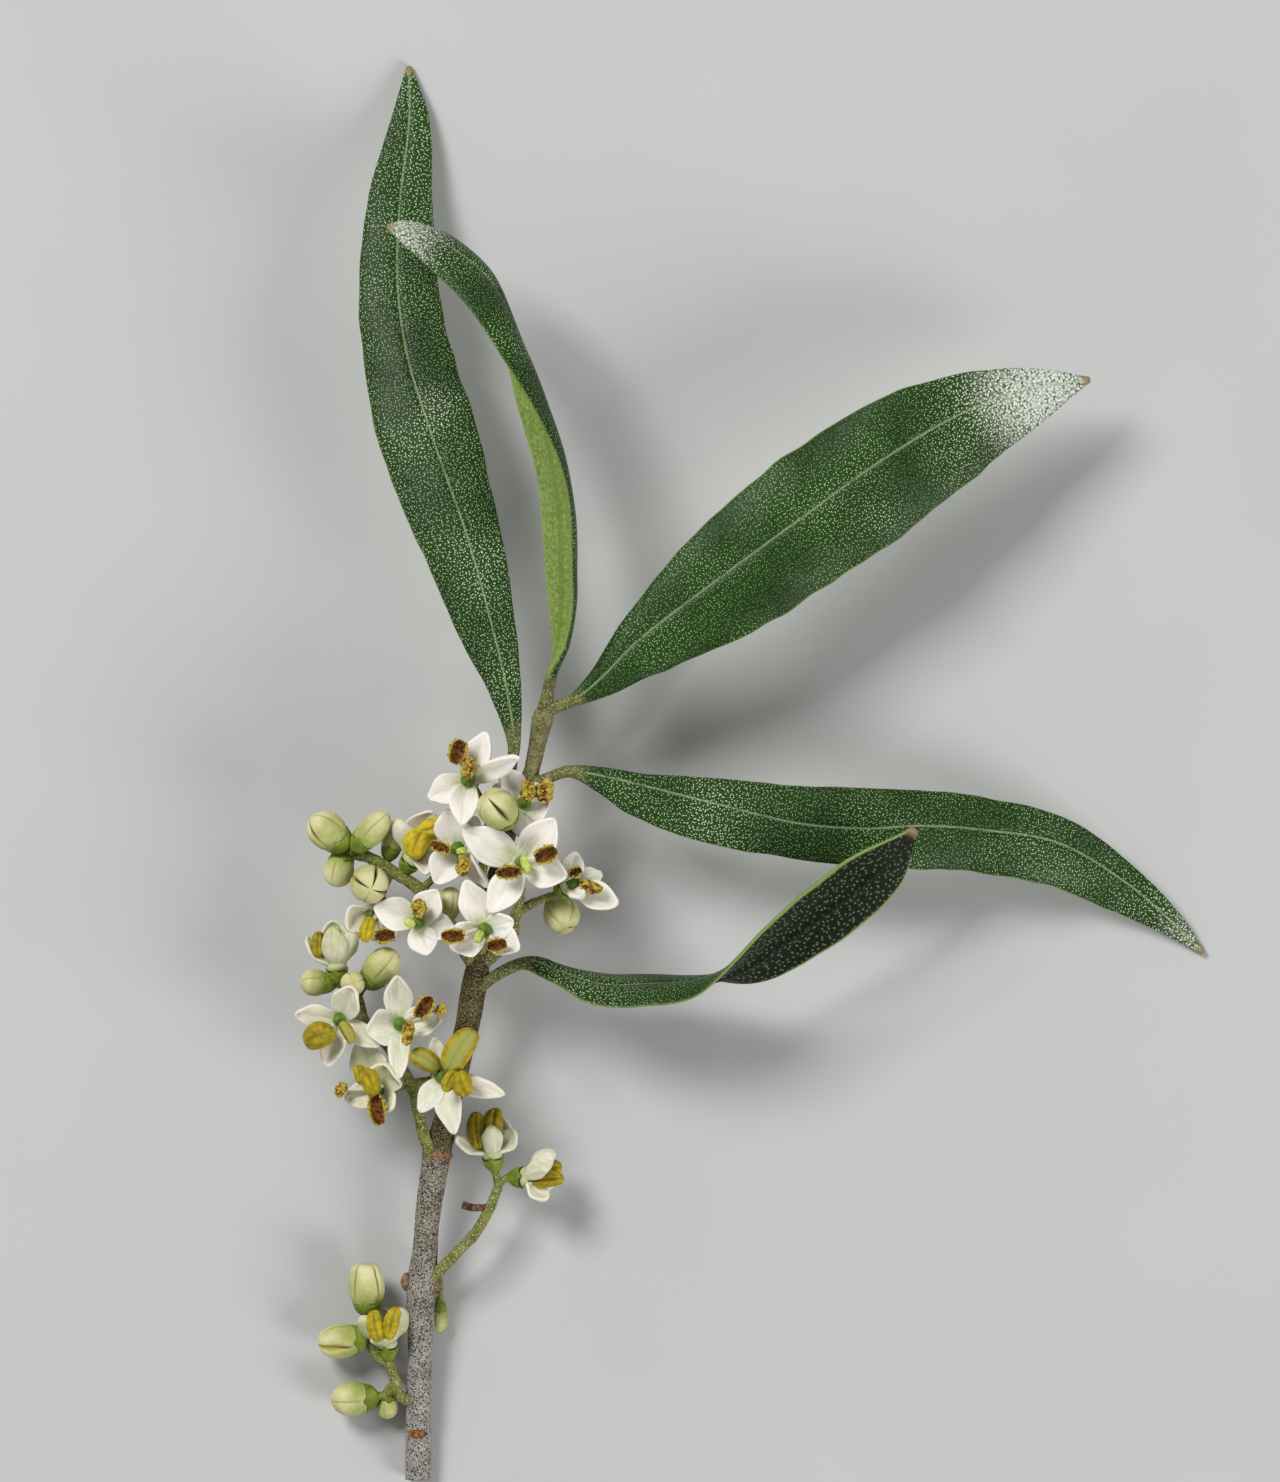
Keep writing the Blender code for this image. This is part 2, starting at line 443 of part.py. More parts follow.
def blade_ring(point, side, normal, left, right, bend_left, bend_right, thick, columns, power):
    """One cross-section of a leaf or petal: both faces of a bent strip that thins out to its edges."""
    upper = []
    lower = []
    for u in columns:
        reach = right if u > 0 else left
        bend = math.radians(bend_right if u > 0 else bend_left)
        if abs(bend) < 0.01:
            across = abs(u) * reach
            drop = 0.0
            lean = 0.0
        else:
            radius = reach / bend
            lean = abs(u) * bend
            across = radius * math.sin(lean)
            drop = radius * (1.0 - math.cos(lean))
        sign = 1.0 if u > 0 else -1.0
        middle = point + side * (sign * across) - normal * drop
        out = (normal * math.cos(lean) + side * (sign * math.sin(lean))).normalized()
        half = 0.5 * thick * math.sqrt(max(0.0, 1.0 - abs(u) ** power))
        upper.append(middle + out * half)
        lower.append(middle - out * half)
    return upper + [lower[k] for k in range(len(columns) - 2, 0, -1)]


def leaf(name, rows):
    """A leaf with its stalk: round in section where it leaves the stem, then a thin bent blade."""
    rows = route(rows, LEAF_STATIONS)
    points = [Vector(r[:3]) for r in rows]
    rings = []
    for point, way, row in zip(points, tangents(points), rows):
        left, right, roll, bend_left, bend_right, thick = row[3:]
        flat_side = way.cross(UP).normalized()
        flat_up = flat_side.cross(way)
        turn = math.radians(roll)
        side = flat_side * math.cos(turn) + flat_up * math.sin(turn)
        normal = flat_up * math.cos(turn) - flat_side * math.sin(turn)
        power = 2.0 + 4.0 * min(1.0, max(0.0, (left + right) / (2.0 * thick) - 0.5))
        rings.append(blade_ring(point, side, normal, left, right, bend_left, bend_right, thick,
                                BLADE_COLUMNS, power))
    return loft(name, rings, len(BLADE_COLUMNS) - 1)


def petal(name, foot, way, tip, half_width, twist, bow_up, bow_out):
    """A boat-shaped petal from the throat of a flower to its tip."""
    reach = tip - foot
    out = (reach - way * reach.dot(way)).normalized()
    start = foot + way * PETAL_START_UP + out * PETAL_START_OUT
    bend = (start + tip) / 2 + way * bow_up + out * bow_out
    side = way.cross(out).normalized()
    rings = []
    for t, wide in PETAL_SHAPE:
        point = start * (1 - t) ** 2 + bend * (2 * t * (1 - t)) + tip * t ** 2
        along = ((bend - start) * (1 - t) + (tip - bend) * t).normalized()
        inner = side.cross(along).normalized()
        if inner.dot(way) < 0 and abs(along.dot(way)) < 0.7 or inner.dot(out) > 0.3:
            inner = -inner
        turn = math.radians(twist) * min(1.0, t * 2.5)
        across = side * math.cos(turn) + inner * math.sin(turn)
        down = side * math.sin(turn) - inner * math.cos(turn)
        rings.append(blade_ring(point, across, down, half_width * wide, half_width * wide,
                                PETAL_BEND, PETAL_BEND, PETAL_THICK, PETAL_COLUMNS, 5.0))
    return loft(name, rings, len(PETAL_COLUMNS) - 1)


def fuse(name, pieces, solver="EXACT"):
    """One body from overlapping closed pieces."""
    base = pieces[0]
    base.name = name
    base.data.name = name
    if len(pieces) == 1:
        return base
    others = bpy.data.collections.new("others")
    for piece in pieces[1:]:
        branch.objects.unlink(piece)
        others.objects.link(piece)
    bpy.context.scene.collection.children.link(others)
    join = base.modifiers.new("join", "BOOLEAN")
    join.operation = "UNION"
    join.operand_type = "COLLECTION"
    join.collection = others
    join.solver = solver
    mesh = evaluated_mesh(base)
    base.modifiers.clear()
    base.data = mesh
    mesh.name = name
    for piece in list(others.objects):
        bpy.data.objects.remove(piece, do_unlink=True)
    bpy.data.collections.remove(others)
    return base


def calyx(foot, way, radius):
    """The green cup under a bud or flower."""
    profile = [CALYX_FOOT] + [(radius * share, height) for share, height in CALYX_SHAPE]
    return turned("calyx", foot, way, profile, 6)


def stalk(foot, way, path):
    """The short stalk from the nearest point of a spray's main stalks to the calyx at a foot."""
    under = foot - way
    start = min(path, key=lambda p: (p - under).length)
    end = foot - way * STALK_END_BELOW
    bend = end - way * ((end - start).length * 0.45)
    middle = start * 0.25 + bend * 0.5 + end * 0.25
    rows = [(*start, STALK_RADIUS), (*middle, STALK_RADIUS), (*end, STALK_END_RADIUS)]
    return tube("stalk", rows, 3, 1)


def stem():
    """The woody stem with its leaf scar, old bud bases and end bud."""
    pieces = [tube("stem", STEM, 24, 3)]
    for centre, (wide, deep, high) in STEM_BUMPS:
        pieces.append(ball("bump", centre, ((wide, 0, 0), (0, deep, 0), (0, 0, high)), 7, 4))
    return fuse("stem", pieces)


def bud(name, foot, way, length, radius):
    """A closed or opening flower bud."""
    profile = [(radius * BUD_FOOT_SHARE, JOINT_GAP)]
    profile += [(radius * wide, length * high) for wide, high in BUD_SHAPE]
    return turned(name, foot, way, profile, 8)


def anther(foot, way, centre, angle, length, width):
    """A filament and the anther on it."""
    toward = centre - foot
    level = (toward - way * toward.dot(way)).normalized()
    base = foot + way * FILAMENT_START_UP + level * FILAMENT_START_OUT
    middle = (base + centre) / 2 + way * FILAMENT_RISE
    rows = [(*base, FILAMENT_RADIUS), (*middle, FILAMENT_RADIUS), (*centre, FILAMENT_RADIUS)]
    turn = math.radians(angle)
    axes = (Vector((math.cos(turn), math.sin(turn), 0.0)) * (length / 2),
            Vector((-math.sin(turn), math.cos(turn), 0.0)) * (width / 2),
            UP * (width * ANTHER_THICKNESS_SHARE))
    return [tube("filament", rows, 3, 0), ball("anther", centre, axes, 6, 3)]


def flower(name, foot, way, bow_up, bow_out, petals, anthers):
    """An open flower: throat, ovary, four petals and two anthers in one body.
    They are joined by MANIFOLD, because EXACT leaves open edges where thin petals cross."""
    pieces = [turned("throat", foot, way, THROAT_SHAPE, 6)]
    side = way.orthogonal().normalized() * OVARY_RADIUS
    other = way.cross(side)
    pieces.append(ball("ovary", foot + way * OVARY_HEIGHT, (side, other, way * OVARY_HALF_LENGTH), 5, 4))
    for x, y, z, half_width, twist in petals:
        pieces.append(petal("petal", foot, way, Vector((x, y, z)), half_width, twist, bow_up, bow_out))
    for x, y, z, angle, length, width in anthers:
        pieces += anther(foot, way, Vector((x, y, z)), angle, length, width)
    return fuse(name, pieces, "MANIFOLD")


made = {"bark": [stem()]}
made["leaf"] = [leaf(name, rows) for name, rows in LEAVES.items()]
made["bud"] = []
made["petal"] = []
green = {}
paths = {}
for name, stalks in SPRAYS.items():
    green[name] = [tube(name, rows, len(rows) + 3, 1) for rows in stalks]
    paths[name] = [Vector(r[:3]) for rows in stalks for r in route(rows, 4 * len(rows))[2:]]

for name, (spray, foot, way, length, diameter) in BUDS.items():
    foot = Vector(foot)
    way = Vector(way).normalized()
    green[spray] += [calyx(foot, way, diameter / 2 * BUD_CALYX_SHARE), stalk(foot, way, paths[spray])]
    made["bud"].append(bud(name, foot, way, length, diameter / 2))

for name, (spray, foot, way, *rest) in FLOWERS.items():
    foot = Vector(foot)
    way = Vector(way).normalized()
    green[spray] += [calyx(foot, way, FLOWER_CALYX_RADIUS), stalk(foot, way, paths[spray])]
    made["petal"].append(flower(name, foot, way, *rest))

made["stalk"] = [fuse(name, pieces) for name, pieces in green.items()]

low = Vector((1e9, 1e9, 1e9))
high = -low
bpy.context.view_layer.update()
for kind, objects in made.items():
    for ob in objects:
        mesh = evaluated_mesh(ob)
        for v in mesh.vertices:
            corner = ob.matrix_world @ v.co
            low = Vector(map(min, low, corner))
            high = Vector(map(max, high, corner))
        bpy.data.meshes.remove(mesh)
        ob.data.materials.clear()
        ob.data.materials.append(materials[kind])
        ob.parent = root

centre = (low + high) / 2
root.scale = (METRES_PER_MM, METRES_PER_MM, METRES_PER_MM)
root.location = Vector((-centre.x, -centre.y, -low.z)) * METRES_PER_MM
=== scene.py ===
# Looks of an olive branch in flower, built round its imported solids: bark, leaves with white scale dots,
# waxy petals, anthers, buds and grainy green stalks, on a pale floor, seen from straight above.
import math

import bpy
import numpy as np
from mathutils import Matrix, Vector, noise


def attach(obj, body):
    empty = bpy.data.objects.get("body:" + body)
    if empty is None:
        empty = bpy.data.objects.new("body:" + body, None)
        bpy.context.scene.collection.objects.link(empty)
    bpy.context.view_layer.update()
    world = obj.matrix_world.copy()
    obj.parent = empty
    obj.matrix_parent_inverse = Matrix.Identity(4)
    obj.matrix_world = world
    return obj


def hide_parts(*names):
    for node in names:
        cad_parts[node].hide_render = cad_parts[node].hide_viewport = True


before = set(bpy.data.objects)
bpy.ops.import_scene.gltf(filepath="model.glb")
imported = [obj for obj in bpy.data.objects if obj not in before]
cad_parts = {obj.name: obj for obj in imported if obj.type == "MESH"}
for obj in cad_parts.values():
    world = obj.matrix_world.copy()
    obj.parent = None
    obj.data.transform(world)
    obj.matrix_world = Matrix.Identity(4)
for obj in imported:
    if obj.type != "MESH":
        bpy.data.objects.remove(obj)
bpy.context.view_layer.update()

# Shapes are drawn in millimetres from the cut end of the stem, at table height, with the stem along +Y.
# This is where that point lies in the row frame.
MM = 0.001
ORIGIN = np.array((-26.6775, -56.698, -0.026))
UP = np.array((0.0, 0.0, 1.0))

# The photograph: its size in pixels, and the part of the drawing that it shows.
PHOTO_WIDTH = 1280
PHOTO_HEIGHT = 1482
MM_PER_PIXEL = 0.08
STEM_PIXEL = 417
LENS = 600.0
SENSOR = 36.0
AIM_HEIGHT = 8.0

# Stem: x, y, z, radius. It swells where leaves and sprays leave it.
STEM = [
    (0.0, 0.0, 1.0, 1.0),
    (0.1, 6.6, 1.6, 1.0),
    (0.2, 12.0, 2.3, 1.02),
    (0.3, 15.4, 2.75, 1.18),
    (0.6, 18.5, 3.1, 1.02),
    (0.9, 21.8, 3.5, 1.0),
    (1.6, 26.2, 4.1, 1.12),
    (2.4, 29.5, 4.6, 0.95),
    (3.2, 33.0, 5.1, 0.96),
    (4.1, 37.0, 5.8, 0.98),
    (4.7, 40.4, 6.4, 1.02),
    (5.1, 42.4, 6.8, 0.74),
    (6.0, 47.4, 7.4, 0.66),
    (7.6, 52.5, 8.0, 0.62),
    (8.8, 55.6, 8.4, 0.78),
    (9.2, 57.0, 8.5, 0.62),
    (9.7, 59.4, 8.8, 0.7),
    (10.1, 61.2, 9.0, 0.85),
    (10.3, 62.1, 9.1, 0.5),
]
# Bumps on the stem: centre, half sizes. A leaf scar near the cut, two old bud bases, the end bud.
STEM_BUMPS = [
    ((0.0, 3.7, 2.0), (0.75, 0.45, 0.55)),
    ((-0.85, 15.9, 2.95), (0.5, 0.75, 0.6)),
    ((1.35, 15.4, 2.8), (0.45, 0.8, 0.6)),
    ((10.5, 62.3, 9.3), (0.4, 0.6, 0.4)),
]

# Leaves: x, y, z of the midrib, width left and right of it, turn about the midrib, bend of each half,
# thickness. Angles are in degrees.
LEAVES = {
    "leaf_1": [
        (7.5, 56.4, 9.2, 0.5, 0.5, 0, 0, 0, 1.0),
        (7.8, 59.0, 9.8, 0.55, 0.5, 0, 0, 0, 0.95),
        (7.2, 63.4, 10.5, 1.5, 1.2, 0, 10, 10, 0.75),
        (6.4, 67.0, 10.9, 2.6, 1.7, 0, 18, 18, 0.65),
        (4.1, 75.4, 11.0, 3.9, 2.8, 0, 20, 20, 0.62),
        (1.3, 83.4, 9.9, 4.3, 3.7, 0, 20, 20, 0.62),
        (-0.8, 90.2, 8.2, 3.7, 3.6, 0, 20, 20, 0.62),
        (-1.6, 96.2, 6.2, 3.1, 3.3, 0, 18, 18, 0.62),
        (-1.4, 102.6, 3.9, 2.6, 2.7, 0, 14, 14, 0.62),
        (-0.7, 109.0, 1.6, 1.5, 1.7, 0, 10, 10, 0.6),
        (-0.7, 113.4, 0.32, 0.25, 0.25, 0, 0, 0, 0.6),
    ],
    "leaf_2": [
        (11.1, 62.0, 9.3, 0.5, 0.5, 0, 0, 0, 1.0),
        (12.6, 62.6, 9.8, 0.55, 0.6, 0, 0, 0, 0.95),
        (14.6, 64.2, 10.3, 1.0, 1.6, 0, 10, 10, 0.75),
        (17.8, 67.4, 10.9, 2.1, 3.4, 0, 18, 18, 0.65),
        (24.2, 72.3, 11.6, 4.0, 5.2, 0, 18, 22, 0.62),
        (30.6, 77.0, 11.6, 4.8, 5.9, 0, 18, 25, 0.62),
        (37.0, 81.6, 10.9, 4.6, 6.0, 0, 18, 25, 0.62),
        (43.4, 85.4, 9.6, 3.3, 4.9, 0, 16, 22, 0.62),
        (49.0, 87.4, 8.1, 1.8, 3.1, 0, 12, 15, 0.62),
        (53.8, 88.2, 6.6, 0.25, 0.25, 0, 0, 0, 0.6),
    ],
    "leaf_3": [
        (10.5, 63.2, 9.6, 0.5, 0.5, -60, 0, 0, 1.0),
        (10.8, 64.6, 10.2, 0.8, 0.7, -90, 20, 10, 0.9),
        (11.7, 67.4, 11.0, 2.2, 1.4, -120, 45, 15, 0.7),
        (11.9, 73.8, 12.2, 3.4, 2.2, -128, 60, 20, 0.62),
        (11.4, 80.2, 13.0, 3.7, 2.6, -125, 60, 25, 0.62),
        (10.2, 85.8, 13.6, 3.7, 3.0, -112, 60, 35, 0.62),
        (8.2, 91.4, 14.0, 3.7, 3.4, -88, 60, 50, 0.62),
        (5.7, 96.1, 13.9, 3.4, 3.4, -62, 55, 55, 0.62),
        (2.3, 98.9, 13.2, 2.6, 2.6, -52, 50, 50, 0.62),
        (-0.6, 100.1, 12.3, 1.4, 1.4, -45, 40, 40, 0.62),
        (-2.3, 100.3, 11.6, 0.25, 0.25, -45, 0, 0, 0.6),
    ],
    "leaf_4": [
        (10.0, 56.1, 8.9, 0.5, 0.5, 0, 0, 0, 1.0),
        (12.2, 56.85, 9.3, 0.5, 0.5, 0, 0, 0, 0.95),
        (14.8, 56.5, 9.5, 0.7, 1.4, 0, 8, 8, 0.75),
        (17.8, 55.8, 9.6, 1.0, 2.6, 0, 12, 12, 0.65),
        (24.2, 54.2, 9.4, 2.2, 3.3, 0, 15, 15, 0.62),
        (30.6, 52.7, 8.9, 3.1, 3.0, 0, 15, 15, 0.62),
        (36.2, 52.3, 8.1, 3.2, 3.1, 0, 15, 15, 0.62),
        (40.2, 52.5, 7.4, 2.9, 3.5, 0, 15, 15, 0.62),
        (45.0, 52.2, 6.3, 2.7, 3.5, 0, 15, 15, 0.62),
        (51.4, 51.1, 4.3, 2.0, 3.5, 0, 12, 12, 0.62),
        (57.0, 47.8, 2.2, 1.4, 2.6, 0, 10, 10, 0.62),
        (60.6, 44.7, 1.0, 0.9, 1.2, 0, 5, 5, 0.62),
        (63.0, 42.3, 0.32, 0.25, 0.25, 0, 0, 0, 0.6),
    ],
    "leaf_5": [
        (5.95, 40.3, 6.7, 0.5, 0.5, 0, 0, 0, 1.0),
        (7.4, 41.1, 6.9, 0.5, 0.5, 15, 0, 0, 0.98),
        (8.8, 41.5, 7.1, 0.6, 0.6, 40, 0, 0, 0.9),
        (11.0, 40.9, 7.3, 1.5, 1.5, 60, 12, 12, 0.7),
        (14.6, 39.8, 7.5, 2.9, 2.9, 65, 15, 15, 0.62),
        (19.4, 39.8, 7.9, 3.2, 3.2, 69, 15, 15, 0.62),
        (22.6, 40.2, 8.3, 3.3, 3.3, 82, 12, 12, 0.62),
        (26.2, 41.4, 8.8, 3.4, 3.4, 112, 12, 12, 0.62),
        (29.8, 43.8, 9.4, 3.4, 3.4, 130, 12, 12, 0.62),
        (33.8, 46.7, 10.1, 3.4, 3.4, 137, 12, 12, 0.62),
        (37.0, 49.3, 10.8, 2.8, 2.8, 137, 10, 10, 0.62),
        (39.0, 51.3, 11.2, 1.3, 1.3, 130, 5, 5, 0.62),
        (39.8, 52.3, 11.4, 0.25, 0.25, 130, 0, 0, 0.6),
    ],
}

# Flower stalks of each spray: x, y, z, radius along every stalk, the first one rooted at the stem.
SPRAYS = {
    "spray_front": [
        [(5.0, 43.6, 8.05, 0.42), (4.9, 46.5, 9.2, 0.42), (5.4, 50.0, 9.5, 0.4), (5.7, 52.2, 9.9, 0.38),
         (5.8, 53.2, 10.1, 0.34)],
    ],
    "spray_left": [
        [(3.7, 42.6, 7.3, 0.46), (2.6, 44.6, 7.7, 0.44), (0.2, 47.4, 8.0, 0.42), (-2.0, 48.9, 8.1, 0.4),
         (-3.7, 49.9, 8.0, 0.38), (-5.4, 50.35, 7.9, 0.36)],
    ],
    "spray_right": [
        [(6.5, 42.4, 7.6, 0.46), (7.6, 43.4, 8.3, 0.46), (7.9, 45.4, 8.9, 0.44), (9.0, 46.2, 9.0, 0.4),
         (10.2, 46.7, 9.0, 0.36)],
        [(7.9, 45.2, 8.9, 0.42), (8.3, 47.0, 9.8, 0.4), (8.3, 48.6, 10.6, 0.36)],
    ],
    "spray_middle": [
        [(0.45, 27.9, 5.25, 0.46), (0.1, 29.6, 5.5, 0.46), (-0.6, 32.0, 5.9, 0.44), (-2.2, 34.6, 6.1, 0.42),
         (-4.2, 36.9, 6.0, 0.4), (-4.8, 38.8, 5.6, 0.38), (-5.9, 39.7, 5.4, 0.34)],
    ],
    "spray_low_right": [
        [(1.95, 17.0, 3.4, 0.44), (3.4, 18.5, 3.8, 0.44), (4.9, 20.2, 4.0, 0.44), (5.9, 22.1, 4.2, 0.42),
         (6.5, 23.6, 4.3, 0.38)],
        [(5.7, 21.9, 4.2, 0.32), (4.5, 21.9, 4.3, 0.3), (3.6, 22.1, 4.4, 0.3)],
    ],
    "spray_low_left": [
        [(-1.52, 6.9, 2.3, 0.4), (-1.75, 8.0, 2.6, 0.4), (-2.3, 9.5, 2.7, 0.36)],
        [(-2.2, 9.2, 2.5, 0.34), (-3.3, 9.9, 1.8, 0.32), (-3.95, 11.3, 1.9, 0.32),
         (-3.95, 12.8, 2.5, 0.32)],
    ],
    "spray_low_back": [
        [(1.6, 16.6, 1.45, 0.32), (1.75, 15.2, 1.2, 0.32), (1.7, 14.2, 1.1, 0.32)],
    ],
}
DRY_STUB = ("spray_low_right", 1)

# Buds: spray, foot of the corolla, direction, length, diameter.
BUDS = {
    "bud_1": ("spray_front", (7.05, 53.26, 12.9), (-0.46, 0.51, 0.73), 3.0, 3.2),
    "bud_2": ("spray_left", (-6.2, 51.3, 8.6), (-0.75, 0.62, 0.15), 3.0, 3.0),
    "bud_3": ("spray_left", (-4.5, 51.2, 8.9), (0.68, 0.7, 0.15), 3.2, 2.3),
    "bud_4": ("spray_left", (-6.0, 49.8, 7.6), (-0.28, -0.93, 0.2), 2.3, 2.5),
    "bud_5": ("spray_left", (-3.9, 48.1, 9.6), (0.1, -0.22, 0.97), 2.9, 3.1),
    "bud_6": ("spray_right", (11.3, 46.0, 7.2), (0.25, -0.58, 0.78), 2.7, 2.9),
    "bud_7": ("spray_left", (2.5, 45.6, 8.8), (0.15, 0.85, 0.45), 2.2, 2.0),
    "bud_8": ("spray_left", (-2.1, 50.6, 7.5), (0.28, 0.93, 0.1), 2.6, 2.0),
    "bud_9": ("spray_middle", (-7.4, 39.9, 5.9), (-0.98, 0.05, 0.15), 2.0, 2.2),
    "bud_10": ("spray_middle", (-3.6, 40.3, 6.6), (0.62, 0.72, 0.3), 3.0, 2.8),
    "bud_11": ("spray_middle", (-5.2, 39.8, 7.1), (0.05, 0.08, 0.99), 1.8, 2.0),
    "bud_12": ("spray_low_left", (-4.0, 14.1, 2.7), (-0.06, 0.99, 0.1), 3.3, 2.9),
    "bud_13": ("spray_low_left", (-4.9, 11.3, 2.1), (-0.98, -0.12, 0.1), 3.1, 2.8),
    "bud_14": ("spray_low_left", (-4.1, 6.6, 2.0), (-0.98, -0.08, 0.08), 2.9, 2.8),
    "bud_15": ("spray_low_left", (-2.4, 6.45, 1.5), (-0.05, -0.98, -0.1), 1.6, 1.7),
    "bud_16": ("spray_low_back", (1.68, 13.6, 1.1), (-0.05, -0.99, 0.0), 1.8, 1.6),
}

